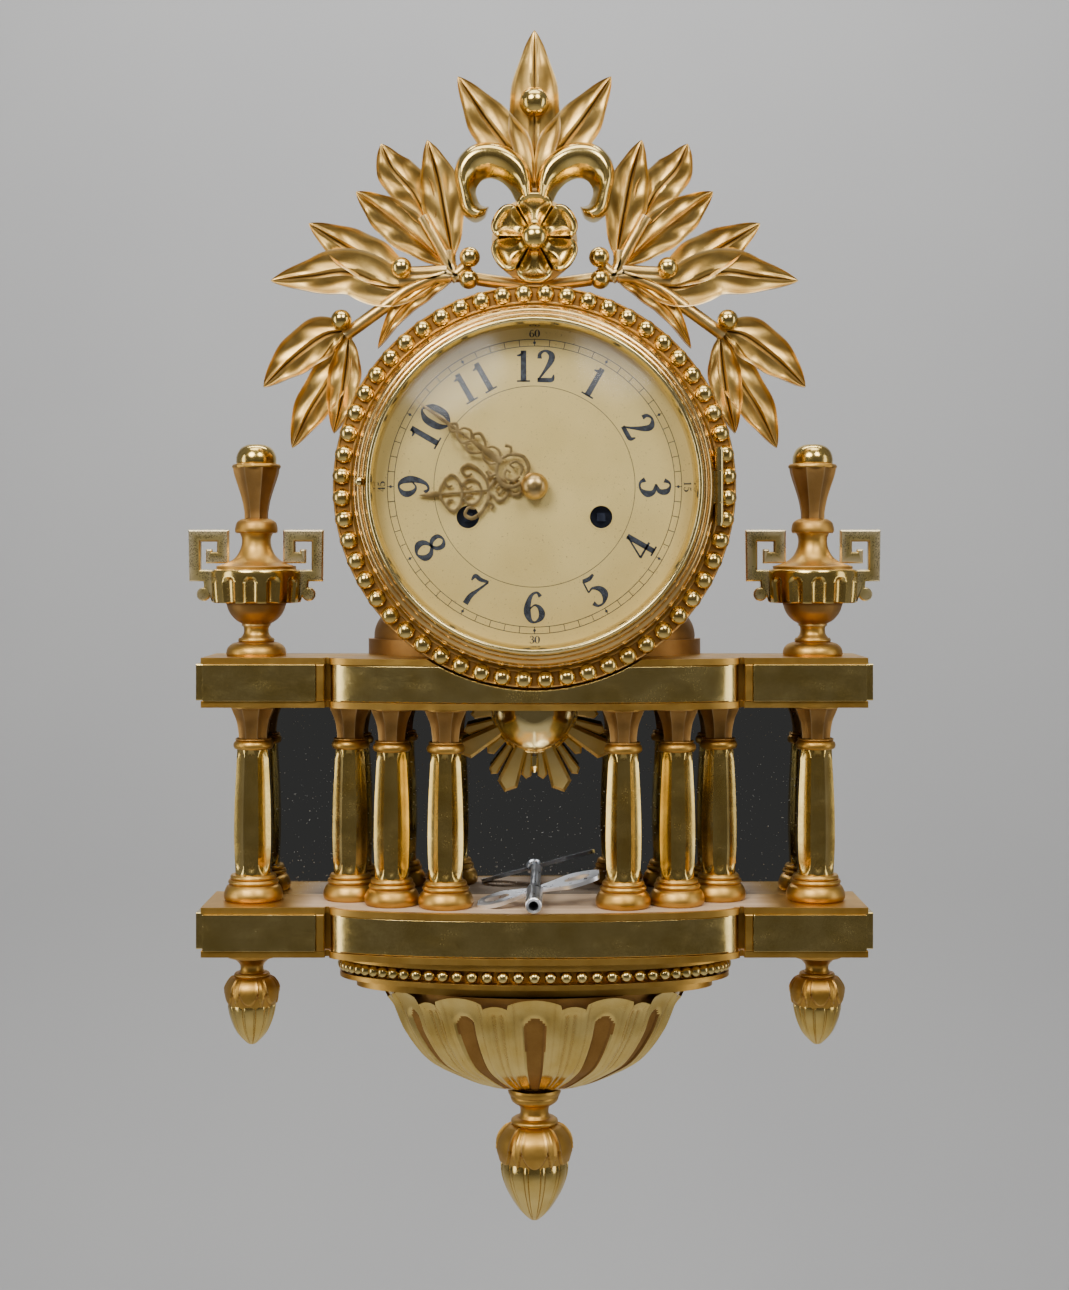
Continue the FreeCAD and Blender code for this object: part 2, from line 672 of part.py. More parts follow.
def latch_knob():
    ball_depth = BEZEL_FRONT - 3
    stalk = disc(LATCH_X, LATCH_Z, 1.0, ball_depth - 7, ball_depth - 1)
    return fuse([stalk, Part.makeSphere(LATCH_R, at(LATCH_X, ball_depth, LATCH_Z))]).cut(bezel_ring())


def hinge_pin():
    return fuse([post(HINGE_X, HINGE_DEPTH, PIN_R, HINGE_BOTTOM - 0.6, HINGE_TOP + 0.6),
                 post(HINGE_X, HINGE_DEPTH, PIN_R + 0.7, HINGE_TOP + 0.05, HINGE_TOP + 1.2),
                 post(HINGE_X, HINGE_DEPTH, PIN_R + 0.7, HINGE_BOTTOM - 1.2, HINGE_BOTTOM - 0.05)])


def case_hinge_leaf():
    """Fixed leaf let into the ring's face, hollowed where the nearest beads stand."""
    hinge_beads = [bead(index) for index in range(BEAD_COUNT // 4 - 3, BEAD_COUNT // 4 + 3)]
    leaf_back = RING_FACE - HINGE_LEAF_THICK - 0.1
    pieces = []
    for low, high in ((HINGE_UPPER_JOINT + 0.15, HINGE_TOP), (HINGE_BOTTOM, HINGE_LOWER_JOINT - 0.15)):
        pieces.append(post(HINGE_X, HINGE_DEPTH, KNUCKLE_R, low, high))
        pieces.append(box(HINGE_X - 0.3, HINGE_X + 0.2, leaf_back, HINGE_DEPTH, low, high))
    leaf_front = leaf_back + HINGE_LEAF_THICK
    pieces.append(box(HINGE_LEAF_X, HINGE_X + 0.2, leaf_back, leaf_front, HINGE_BOTTOM, HINGE_TOP))
    pin_hole = post(HINGE_X, HINGE_DEPTH, PIN_R, HINGE_BOTTOM - 1, HINGE_TOP + 1)
    return fuse(pieces).cut(pin_hole).cut(group(hinge_beads))


def door_hinge_leaf():
    low = HINGE_LOWER_JOINT + 0.15
    high = HINGE_UPPER_JOINT - 0.15
    lug = box(BEZEL_R - 1.5, HINGE_X, HINGE_DEPTH - 1, HINGE_DEPTH + 1, low, high)
    knuckle = post(HINGE_X, HINGE_DEPTH, KNUCKLE_R, low, high)
    bore = post(HINGE_X, HINGE_DEPTH, PIN_R + PIVOT_GAP, low - 1, high + 1)
    return fuse([lug, knuckle]).cut(bezel_ring()).cut(bore)


# ---- dial and hands ----
def dial_plate():
    back = DIAL_FACE - DIAL_THICK
    holes = [disc(0, 0, DIAL_CENTRE_HOLE_R, back - OVER, DIAL_FACE + OVER)]
    for side in (-1, 1):
        holes.append(disc(side * WIND_X, WIND_Z, WIND_HOLE_R, back - OVER, DIAL_FACE + OVER))
    face = disc(0, 0, DIAL_R, back, DIAL_FACE).cut(group(holes))
    feet = [disc(x, z, 2, FRONT_PLATE + PLATE_THICK, back + 0.2) for x, z in DIAL_FEET]
    return fuse([face] + feet)


def hand(length, angle, boss_r, bore_r, depth0, swell):
    """Tapered serpentine hand with a round boss and a widened middle."""
    width = [(0, 2.2), (0.2, 1.2), (0.38, swell), (0.62, swell * 0.8), (0.75, 1.3), (1.0, 0.25)]
    left = [(along * length, half) for along, half in width]
    right = [(along, -half) for along, half in reversed(left)]
    turn = math.radians(90 - angle)
    points = []
    for along, side in left + right:
        x = along * math.cos(turn) - side * math.sin(turn)
        points.append((x, along * math.sin(turn) + side * math.cos(turn)))
    depth1 = depth0 + HAND_THICK
    bore = disc(0, 0, bore_r, depth0 - OVER, depth1 + OVER)
    return fuse([plate(points, depth0, depth1), disc(0, 0, boss_r, depth0, depth1)]).cut(bore)


def minute_hand():
    return hand(MINUTE_HAND, HAND_MINUTE_ANGLE, 4.5, CANNON_R, MINUTE_HAND_BACK, 4.6)


def hour_hand():
    return hand(HOUR_HAND, HAND_HOUR_ANGLE, 5.5, HOUR_PIPE_R, HOUR_HAND_BACK, 6.4)


def hand_nut():
    back = MINUTE_HAND_BACK + HAND_THICK
    return turned_flat((0, back), [(HAND_NUT_R, back), (HAND_NUT_R, back + 0.8),
                       ((5, 77.5), (0, HAND_NUT_FRONT))])


# ---- movement ----
def pivot_hole(x, z, radius=PIVOT_R):
    return disc(x, z, radius + PIVOT_GAP, BACK_PLATE - 1, FRONT_PLATE + PLATE_THICK + 1)


# The third wheel stands where its mesh distances from the centre arbor and the escape arbor meet
CENTRE_TO_THIRD = (LEAVES + WHEEL_TEETH) * WHEEL_MODULE / 2
THIRD_TO_ESCAPE = (LEAVES + THIRD_TEETH) * THIRD_MODULE / 2
THIRD_Z = (CENTRE_TO_THIRD ** 2 - THIRD_TO_ESCAPE ** 2 + ESCAPE_Z ** 2) / (2 * ESCAPE_Z)
THIRD_X = -math.sqrt(CENTRE_TO_THIRD ** 2 - THIRD_Z ** 2)
HOUR_MODULE = 2 * MOTION_DISTANCE / (MINUTE_LEAVES + HOUR_TEETH)
WINDING_PIVOT_R = WINDING_R - 0.5
PIVOTS = [(0, 0, ARBOR_R), (WIND_X, WIND_Z, WINDING_PIVOT_R), (-WIND_X, WIND_Z, WINDING_PIVOT_R),
          (THIRD_X, THIRD_Z, PIVOT_R), (0, ESCAPE_Z, PIVOT_R), (0, SWING_Z, PIVOT_R)]


def arbor(x, z, radius, pivot_r, back=0.0, front=0.0):
    """Steel arbor between the plates, with pivots that reach through them by back and front."""
    low = BACK_PLATE + PLATE_THICK + SHAKE
    high = FRONT_PLATE - SHAKE
    pivots = disc(x, z, pivot_r, BACK_PLATE - back, FRONT_PLATE + PLATE_THICK + front)
    return fuse([disc(x, z, radius, low, high), pivots])


def movement_plate(depth):
    blank = box(-PLATE_HALF, PLATE_HALF, depth, depth + PLATE_THICK, PLATE_BOTTOM, PLATE_TOP)
    holes = [pivot_hole(x, z, radius) for x, z, radius in PIVOTS]
    return blank.cut(group(holes))


def back_plate():
    return movement_plate(BACK_PLATE).cut(pivot_hole(HAMMER_X, HAMMER_Z))


def front_plate():
    lugs = []
    for x, z in PILLARS:
        reach = (CASE_R - 2) / math.hypot(x, z)
        lugs.append(stem((x, z), (x * reach, z * reach), 5, FRONT_PLATE, PLATE_THICK))
    stud = disc(0, MOTION_DISTANCE, STUD_R, FRONT_PLATE, DIAL_FACE - DIAL_THICK - 0.6)
    return fuse([movement_plate(FRONT_PLATE)] + lugs + [stud]).cut(pivot_hole(0, 0, ARBOR_R))


def plate_pillars():
    return group([disc(x, z, PILLAR_R, BACK_PLATE + PLATE_THICK, FRONT_PLATE) for x, z in PILLARS])


def centre_arbor():
    """Hand arbor with its pinion, the centre wheel and the cannon pinion that carries the minute hand."""
    pinion_turn = direction(0, 0, WIND_X, WIND_Z) + 180 / CENTRE_PINION_TEETH
    wheel_turn = direction(0, 0, THIRD_X, THIRD_Z)
    return fuse([arbor(0, 0, 2.2, ARBOR_R, front=1),
                 toothed(0, 0, CENTRE_PINION_TEETH, BARREL_MODULE, *CENTRE_PINION_LAYER, 0.36, pinion_turn),
                 toothed(0, 0, WHEEL_TEETH, WHEEL_MODULE, *CENTRE_WHEEL_LAYER, 0.44, wheel_turn),
                 toothed(0, 0, CANNON_TEETH, WHEEL_MODULE, *CANNON_LAYER, 0.38, 90),
                 disc(0, 0, CANNON_R, FRONT_PLATE + PLATE_THICK + 0.2, MINUTE_HAND_BACK + HAND_THICK)])


def third_wheel():
    pinion_turn = direction(THIRD_X, THIRD_Z, 0, 0) + 180 / LEAVES
    return fuse([arbor(THIRD_X, THIRD_Z, 1.1, PIVOT_R),
                 toothed(THIRD_X, THIRD_Z, LEAVES, WHEEL_MODULE, *THIRD_PINION_LAYER, 0.36, pinion_turn),
                 toothed(THIRD_X, THIRD_Z, THIRD_TEETH, THIRD_MODULE, *THIRD_WHEEL_LAYER, 0.44,
                         direction(THIRD_X, THIRD_Z, 0, ESCAPE_Z))])


def escape_wheel():
    pinion_turn = direction(0, ESCAPE_Z, THIRD_X, THIRD_Z) + 180 / LEAVES
    points = []
    for tooth in range(ESCAPE_TEETH):
        start = tooth * 360 / ESCAPE_TEETH
        for radius, offset in ((ESCAPE_R - 1.8, 0), (ESCAPE_R, 4.0), (ESCAPE_R, 5.2), (ESCAPE_R - 1.8, 7.0)):
            x, z = polar(radius, start + offset)
            points.append((x, z + ESCAPE_Z))
    return fuse([arbor(0, ESCAPE_Z, 1.0, PIVOT_R), plate(points, *ESCAPE_LAYER),
                 toothed(0, ESCAPE_Z, LEAVES, THIRD_MODULE, *ESCAPE_PINION_LAYER, 0.36, pinion_turn)])


def anchor():
    """Anchor on its arbor, with the crutch whose fork embraces the pendulum rod behind the movement."""
    depth, front = ESCAPE_LAYER
    back, crutch_front = CRUTCH_LAYER
    arms = []
    for side in (-1, 1):
        elbow = (side * 8.6, SWING_Z - 2.5)
        arms.append(stem((0, SWING_Z), elbow, 1.2, depth, front - depth))
        arms.append(stem(elbow, (side * 8.2, SWING_Z - 6.0), 0.9, depth, front - depth))
    fork_z = 2.0
    crutch = [disc(0, SWING_Z, 2.0, back, crutch_front + 0.8),
              box(-0.9, 0.9, back, crutch_front, fork_z, SWING_Z),
              box(-3.4, 3.4, back, crutch_front, fork_z - 3, fork_z)]
    for side in (-1, 1):
        crutch.append(box(side * 2.6 - 0.8, side * 2.6 + 0.8, ROD_DEPTH - 3, crutch_front, fork_z - 3, fork_z))
    return fuse([arbor(0, SWING_Z, 1.0, PIVOT_R, back=3.0)] + arms + crutch)


def barrel(side):
    """Spring barrel, free on the winding arbor; the going great wheel is in front, the strike one behind."""
    x = side * WIND_X
    wheel_layer = GOING_WHEEL_LAYER if side > 0 else STRIKE_WHEEL_LAYER
    drum_layer = GOING_DRUM_LAYER if side > 0 else STRIKE_DRUM_LAYER
    wheel = toothed(x, WIND_Z, BARREL_TEETH, BARREL_MODULE, *wheel_layer, 0.40, direction(x, WIND_Z, 0, 0))
    bore = disc(x, WIND_Z, WINDING_R + PIVOT_GAP, BACK_PLATE, FRONT_PLATE)
    return fuse([disc(x, WIND_Z, DRUM_R, *drum_layer), wheel]).cut(bore)


def winding_arbor(side):
    """Winding arbor with a square end behind the dial and a ratchet wheel in front of the movement."""
    x = side * WIND_X
    points = []
    for tooth in range(RATCHET_TEETH):
        for radius, offset in ((7.0, 0), (8.4, 1.5)):
            px, pz = polar(radius, tooth * 360 / RATCHET_TEETH + offset)
            points.append((x + px, WIND_Z + pz))
    ratchet = plate(points, FRONT_PLATE + PLATE_THICK + 0.3, FRONT_PLATE + PLATE_THICK + 1.8)
    square = box(x - SQUARE_HALF, x + SQUARE_HALF, FRONT_PLATE, DIAL_FACE - 1,
                 WIND_Z - SQUARE_HALF, WIND_Z + SQUARE_HALF)
    return fuse([arbor(x, WIND_Z, WINDING_R, WINDING_PIVOT_R), ratchet, square])


def minute_wheel():
    wheel_turn = 270 + 180 / MINUTE_TEETH
    wheel = toothed(0, MOTION_DISTANCE, MINUTE_TEETH, WHEEL_MODULE, *MINUTE_WHEEL_LAYER, 0.40, wheel_turn)
    leaves = toothed(0, MOTION_DISTANCE, MINUTE_LEAVES, HOUR_MODULE, *MINUTE_LEAF_LAYER, 0.36, 270)
    return fuse([wheel, leaves]).cut(disc(0, MOTION_DISTANCE, STUD_R + PIVOT_GAP, FRONT_PLATE, DIAL_FACE))


def hour_wheel():
    back, front = HOUR_WHEEL_LAYER
    wheel = toothed(0, 0, HOUR_TEETH, HOUR_MODULE, back, front, 0.42, 90 + 180 / HOUR_TEETH)
    pipe = disc(0, 0, HOUR_PIPE_R, back, HOUR_HAND_BACK + HAND_THICK + 0.2)
    return fuse([wheel, pipe]).cut(disc(0, 0, CANNON_R + PIVOT_GAP, FRONT_PLATE, HAND_NUT_FRONT))


def hammer():
    arm_back = 31.0
    arm_thick = 1.6
    arm = stem((HAMMER_X, HAMMER_Z), HAMMER_HEAD, 1.3, arm_back, arm_thick)
    head = disc(*HAMMER_HEAD, HAMMER_HEAD_R, POCKET_BACK, arm_back + arm_thick)
    staff = disc(HAMMER_X, HAMMER_Z, PIVOT_R, arm_back - 1, BACK_PLATE + PLATE_THICK)
    return fuse([arm, head, staff, disc(HAMMER_X, HAMMER_Z, 3 * PIVOT_R, arm_back - 1, arm_back + 3)])


def gong():
    """Flat coil of steel, drawn as half circles whose radius grows by half the pitch each time."""
    half_width = 0.9
    back, front = GONG_LAYER
    coil = []
    for index in range(GONG_TURNS):
        radius = GONG_START_R + index * GONG_PITCH / 2
        shift = GONG_PITCH / 4 if index % 2 else -GONG_PITCH / 4
        hollow = disc(shift, GONG_Z, radius - half_width, back - OVER, front + OVER)
        ring = disc(shift, GONG_Z, radius + half_width, back, front).cut(hollow)
        z0, z1 = (GONG_Z, CASE_R) if index % 2 else (-CASE_R, GONG_Z)
        coil.append(ring.common(box(-CASE_R, CASE_R, back - OVER, front + OVER, z0, z1)))
    return fuse(coil)


def gong_block():
    """Block that clamps the outer end of the coil to the back of the case."""
    edge = GONG_START_R + (GONG_TURNS - 1) * GONG_PITCH / 2 + GONG_PITCH / 4
    return box(-edge - 8, -edge + 4, CASE_WALL, GONG_LAYER[0], GONG_Z - 8, GONG_Z + 8)


def pendulum_cock():
    post_block = box(-5, 5, ROD_DEPTH - 3, BACK_PLATE, SWING_Z + 4, SWING_Z + 8)
    foot = box(-9, 9, BACK_PLATE - 1.6, BACK_PLATE, SWING_Z + 3.5, SWING_Z + 8)
    return fuse([post_block, foot])


def pendulum_rod():
    """Suspension spring, rod and hook; it swings about the bending point of the spring."""
    spring = box(-2.5, 2.5, ROD_DEPTH - 0.15, ROD_DEPTH + 0.15, SWING_Z - 14, SWING_Z + 3.7)
    block = box(-3.5, 3.5, ROD_DEPTH - 1.5, ROD_DEPTH + 1.5, SWING_Z - 18, SWING_Z - 12)
    rod = post(0, ROD_DEPTH, ROD_R, BOB_Z - 32, SWING_Z - 15)
    return fuse([spring, block, rod])


def pendulum_bob():
    """Sunburst disc of pointed rays with a polished dome in front."""
    front = ROD_DEPTH + 3.2
    rays = []
    for index in range(RAY_COUNT):
        middle = (index + 0.5) * 360 / RAY_COUNT
        for offset, reach, half in ((0, RAY_R, 7.0), (12, SHORT_RAY_R, 3.6), (-12, SHORT_RAY_R, 3.6)):
            tip = polar(reach, 180 + middle + offset)
            left = polar(reach * 0.86, 180 + middle + offset - half)
            right = polar(reach * 0.86, 180 + middle + offset + half)
            root_a = polar(12, 180 + middle + offset - 12)
            root_b = polar(12, 180 + middle + offset + 12)
            points = [(x, z + BOB_Z) for x, z in (root_a, left, tip, right, root_b)]
            rays.append(plate(points, front, front + RAY_THICK))
    dome = turned_flat((0, front), [(BOB_R, front), (BOB_R, front + 2),
                       ((14, front + 7.5), (0, front + 9.6))], 0, BOB_Z)
    clip = box(-3, 3, ROD_DEPTH + 1.2, front, BOB_Z - 8, BOB_Z + 12)
    return fuse(rays + [dome, clip])


def rating_nut():
    z = BOB_Z - 24
    return turned((ROD_R, z), [(3, z), (3, z - 5), (ROD_R, z - 8.5)], 0, ROD_DEPTH)


def winding_key():
    """Winding key lying on the lower shelf, its back end leaning on the mirror."""
    front = at(*KEY_FRONT_END)
    back = at(*KEY_BACK_END)
    along = (back - front).normalize()
    roll = math.radians(KEY_ROLL)
    across = V(math.cos(roll), 0, math.sin(roll))
    across = (across - along * across.dot(along)).normalize()
    barrel_part = Part.makeCylinder(KEY_BARREL_R, KEY_BARREL_LENGTH, front, along)
    small_part = Part.makeCylinder(KEY_SMALL_R, (back - front).Length - KEY_BARREL_LENGTH,
                                   front + along * KEY_BARREL_LENGTH, along)
    middle = front + along * (KEY_BARREL_LENGTH + 1)
    up = across.cross(along)
    corners = []
    for side, offset in ((-30, -3), (-30, 5), (-6, 8), (6, 8), (34, 10), (34, 2), (6, -7), (-6, -7)):
        corners.append(middle + across * side + along * offset - up * (KEY_WING_THICK / 2))
    wing = Part.Face(Part.makePolygon(corners + corners[:1])).extrude(up * KEY_WING_THICK)
    socket = Part.makeCylinder(KEY_SMALL_R, KEY_SOCKET_DEPTH + OVER, front - along * OVER, along)
    return fuse([barrel_part, small_part, wing]).cut(socket)


MAKERS = [hanger_plate, hanger_screws, drum_case, front_ring, ring_beads, back_board, mirror_glass, upper_shelf,
          upper_panels, end_columns, inner_columns, urns, urn_handles, plinth, apron, apron_beads, bowl,
          bowl_pendant, small_pendants, lower_panels, crest_block, palmette, crest_scrolls, rosette, spray_left,
          spray_right, crest_berries, bezel_ring, glass, latch_knob, hinge_pin, case_hinge_leaf, door_hinge_leaf,
          dial_plate, minute_hand, hour_hand, hand_nut, front_plate, back_plate, plate_pillars, centre_arbor,
          third_wheel, escape_wheel, anchor, minute_wheel, hour_wheel, hammer, gong, gong_block, pendulum_cock,
          pendulum_rod, pendulum_bob, rating_nut, winding_key]


def main():
    os.makedirs("parts", exist_ok=True)
    for maker in MAKERS:
        save(maker.__name__, maker())
    save("lower_shelf", shelf(LOWER_TOP))
    for side, name in ((1, "going"), (-1, "strike")):
        save(name + "_barrel", barrel(side))
        save(name + "_arbor", winding_arbor(side))


main()
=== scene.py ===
import json
import math

import bmesh
import bpy
import numpy as np
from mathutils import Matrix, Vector

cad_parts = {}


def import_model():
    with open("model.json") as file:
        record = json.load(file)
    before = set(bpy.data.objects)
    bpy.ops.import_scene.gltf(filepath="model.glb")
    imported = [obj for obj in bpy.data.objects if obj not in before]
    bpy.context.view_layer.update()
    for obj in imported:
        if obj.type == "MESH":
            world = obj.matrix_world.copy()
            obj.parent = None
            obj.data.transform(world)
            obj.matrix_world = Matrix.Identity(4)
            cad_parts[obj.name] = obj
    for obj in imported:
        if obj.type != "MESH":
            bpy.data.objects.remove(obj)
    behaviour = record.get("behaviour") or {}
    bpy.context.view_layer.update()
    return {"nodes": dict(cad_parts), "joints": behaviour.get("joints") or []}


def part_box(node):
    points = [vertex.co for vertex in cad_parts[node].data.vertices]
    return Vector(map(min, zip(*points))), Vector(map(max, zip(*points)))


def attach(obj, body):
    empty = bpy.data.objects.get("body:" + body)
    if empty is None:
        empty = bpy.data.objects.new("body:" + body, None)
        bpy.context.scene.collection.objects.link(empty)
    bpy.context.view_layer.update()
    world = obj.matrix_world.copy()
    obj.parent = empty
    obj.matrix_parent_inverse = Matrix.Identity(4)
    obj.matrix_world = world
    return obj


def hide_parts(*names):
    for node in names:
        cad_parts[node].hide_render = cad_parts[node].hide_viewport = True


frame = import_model()

# Shapes are drawn in millimetres about the dial's axis: x to the right, depth from the wall, z up.
MM = 0.001
JOINTS = {joint["name"]: joint for joint in frame["joints"]}
DIAL_Z = JOINTS["minute_hand_turn"]["pos_m"][2]
WALL_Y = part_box("back_board")[1][1]


def world(x, depth, z):
    return (x * MM, WALL_Y - depth * MM, DIAL_Z + z * MM)


def local_box(node):
    """A node's box as x, depth and z ranges in millimetres."""
    low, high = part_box(node)
    return ((low[0] / MM, high[0] / MM), ((WALL_Y - high[1]) / MM, (WALL_Y - low[1]) / MM),
            ((low[2] - DIAL_Z) / MM, (high[2] - DIAL_Z) / MM))


SHELF_TOP = local_box("upper_shelf")[2][1]
LOWER_TOP = local_box("lower_shelf")[2][1]
LOWER_BOTTOM = local_box("lower_shelf")[2][0]
END_COLUMN_X = 144.0
URN_X = 142.5
ROW_DEPTH = 25.5
INNER_COLUMNS = [(44.5, 47.0), (72.0, 39.5), (94.5, 23.0)]
DIAL_FACE = local_box("dial_plate")[1][1]


# ---------------------------------------------------------------- materials
def node(tree, kind, settings=None, **inputs):
    made = tree.nodes.new(kind)
    for key, value in (settings or {}).items():
        setattr(made, key, value)
    for key, value in inputs.items():
        made.inputs[key.replace("_", " ")].default_value = value
    return made


def new_material(name, **sockets):
    material = bpy.data.materials.new(name)
    material.use_nodes = True
    tree = material.node_tree
    shader = tree.nodes["Principled BSDF"]
    for key, value in sockets.items():
        shader.inputs[key.replace("_", " ")].default_value = value
    return material, tree, shader


def noise(tree, scale, detail=3.0, stretch=None):
    coords = node(tree, "ShaderNodeTexCoord")
    texture = node(tree, "ShaderNodeTexNoise", Scale=scale, Detail=detail)
    if stretch:
        mapping = node(tree, "ShaderNodeMapping", Scale=stretch)
        tree.links.new(coords.outputs["Object"], mapping.inputs["Vector"])
        tree.links.new(mapping.outputs["Vector"], texture.inputs["Vector"])
    else:
        tree.links.new(coords.outputs["Object"], texture.inputs["Vector"])
    return texture.outputs["Fac"]


def remap(tree, value, low, high, to_low=0.0, to_high=1.0):
    made = node(tree, "ShaderNodeMapRange", From_Min=low, From_Max=high, To_Min=to_low, To_Max=to_high)
    tree.links.new(value, made.inputs["Value"])
    return made.outputs["Result"]


def mix_colour(tree, factor, first, second):
    made = node(tree, "ShaderNodeMix", {"data_type": "RGBA"})
    for socket, value in ((made.inputs["Factor"], factor), (made.inputs["A"], first),
                          (made.inputs["B"], second)):
        if isinstance(value, (tuple, float)):
            socket.default_value = value
        else:
            tree.links.new(value, socket)
    return made.outputs["Result"]


def add_bump(tree, shader, height, strength, distance):
    bump = node(tree, "ShaderNodeBump", Strength=strength, Distance=distance)
    tree.links.new(height, bump.inputs["Height"])
    tree.links.new(bump.outputs["Normal"], shader.inputs["Normal"])


def combine(tree, operation, first, second):
    made = node(tree, "ShaderNodeMath", {"operation": operation})
    for index, value in enumerate((first, second)):
        if isinstance(value, float):
            made.inputs[index].default_value = value
        else:
            tree.links.new(value, made.inputs[index])
    return made.outputs["Value"]


def gilding(name, light, dark, roughness, spread, bump, hollow_shade_colour=None, wear=0.0):
    """Gold leaf or gold paint in two tones. With a hollow shade colour the hollows darken as painted shade
    and worn edges turn bright, except on faces towards the wall."""
    material, tree, shader = new_material(name, Metallic=1.0)
    tone = remap(tree, noise(tree, 70.0, 4.0), 0.35, 0.65)
    colour = mix_colour(tree, tone, light, dark)
    fine = noise(tree, 1400.0, 2.0)
    scratches = remap(tree, noise(tree, 55.0, 6.0, (1.0, 1.0, 2.2)), 0.48, 0.64)
    rough = remap(tree, fine, 0.3, 0.7, roughness, roughness + spread)
    if hollow_shade_colour:
        geometry = node(tree, "ShaderNodeNewGeometry")
        # Painted shade: hollows found by pointiness take the hollow shade colour.
        hollow = remap(tree, geometry.outputs["Pointiness"], 0.44, 0.50, 1.0, 0.0)
        edge = remap(tree, geometry.outputs["Pointiness"], 0.52, 0.60, 0.0, wear)
        facing = node(tree, "ShaderNodeSeparateXYZ")
        tree.links.new(node(tree, "ShaderNodeTexCoord").outputs["Normal"], facing.inputs["Vector"])
        front = remap(tree, facing.outputs["Y"], 0.5, 0.8, 1.0, 0.0)
        edge = combine(tree, "MULTIPLY", edge, front)
        hollow = combine(tree, "MULTIPLY", hollow, front)
        # Painted shade mixed into the hollows.
        colour = mix_colour(tree, hollow, colour, hollow_shade_colour)
        colour = mix_colour(tree, edge, colour, (1.0, 0.83, 0.50, 1.0))
        rough = combine(tree, "ADD", rough, combine(tree, "MULTIPLY", hollow, 0.25))
    tree.links.new(colour, shader.inputs["Base Color"])
    rough = combine(tree, "ADD", rough, combine(tree, "MULTIPLY", scratches, 0.055))
    tree.links.new(rough, shader.inputs["Roughness"])
    waves = noise(tree, 110.0, 2.0)
    height = combine(tree, "ADD", waves, combine(tree, "MULTIPLY", fine, 0.10))
    add_bump(tree, shader, height, bump, 0.0006)
    return material


def metal(name, light, dark, roughness, spread, stretch, bump=0.08):
    """Turned or brushed metal with fine streaks."""
    material, tree, shader = new_material(name, Metallic=1.0)
    streaks = noise(tree, 300.0, 4.0, stretch)
    colour = mix_colour(tree, remap(tree, noise(tree, 60.0), 0.35, 0.65), light, dark)
    tree.links.new(colour, shader.inputs["Base Color"])
    tree.links.new(remap(tree, streaks, 0.3, 0.7, roughness, roughness + spread), shader.inputs["Roughness"])
    add_bump(tree, shader, streaks, bump, 0.0002)
    return material


def dusty_mirror():
    material, tree, shader = new_material("mirror_silver", Metallic=1.0)
    specks = remap(tree, noise(tree, 900.0, 1.0), 0.70, 0.76)
    haze = remap(tree, noise(tree, 25.0, 5.0), 0.4, 0.7, 0.02, 0.07)
    # The silver is darkened to a dim grey as painted shade for the dark room it reflects; the paler specks
    # are dust.
    colour = mix_colour(tree, specks, (0.30, 0.315, 0.335, 1.0), (0.42, 0.42, 0.40, 1.0))
    tree.links.new(colour, shader.inputs["Base Color"])
    rough = combine(tree, "ADD", haze, combine(tree, "MULTIPLY", specks, 0.5))
    tree.links.new(rough, shader.inputs["Roughness"])
    return material


def clear_glass():
    """Thin clear glass: seen straight through, with a soft sheen that grows towards the rim."""
    material, tree, shader = new_material("clear_glass", Metallic=1.0)
    shader.inputs["Base Color"].default_value = (1.0, 1.0, 1.0, 1.0)
    smears = remap(tree, noise(tree, 30.0, 6.0, (1.0, 1.0, 3.0)), 0.40, 0.75, 0.13, 0.20)
    tree.links.new(smears, shader.inputs["Roughness"])
    sheen = node(tree, "ShaderNodeFresnel", IOR=1.34)
    clear = node(tree, "ShaderNodeBsdfTransparent")
    mix = node(tree, "ShaderNodeMixShader")
    tree.links.new(combine(tree, "MULTIPLY", sheen.outputs["Fac"], 0.30), mix.inputs[0])
    tree.links.new(clear.outputs["BSDF"], mix.inputs[1])
    tree.links.new(shader.outputs["BSDF"], mix.inputs[2])
    tree.links.new(mix.outputs["Shader"], tree.nodes["Material Output"].inputs["Surface"])
    return material


def dial_lacquer():
    material, tree, shader = new_material("dial_lacquer", Metallic=0.0, Roughness=0.42)
    blotch = remap(tree, noise(tree, 35.0, 5.0), 0.35, 0.7)
    colour = mix_colour(tree, blotch, (0.68, 0.53, 0.20, 1.0), (0.60, 0.46, 0.16, 1.0))
    specks = remap(tree, noise(tree, 1100.0, 1.0), 0.68, 0.78)
    colour = mix_colour(tree, specks, colour, (0.36, 0.25, 0.10, 1.0))
    tree.links.new(colour, shader.inputs["Base Color"])
    add_bump(tree, shader, noise(tree, 700.0, 2.0), 0.05, 0.0002)
    return material


def ink():
    material, tree, shader = new_material("numeral_ink", Roughness=0.5)
    colour = mix_colour(tree, remap(tree, noise(tree, 500.0), 0.4, 0.7), (0.012, 0.016, 0.026, 1.0),
                        (0.05, 0.06, 0.08, 1.0))
    tree.links.new(colour, shader.inputs["Base Color"])
    return material


def bare_wood(name, light, dark, roughness=0.6):
    material, tree, shader = new_material(name, Roughness=roughness)
    grain = noise(tree, 60.0, 6.0, (0.25, 6.0, 6.0))
    colour = mix_colour(tree, remap(tree, grain, 0.35, 0.65), light, dark)
    tree.links.new(colour, shader.inputs["Base Color"])
    add_bump(tree, shader, grain, 0.15, 0.0004)
    return material


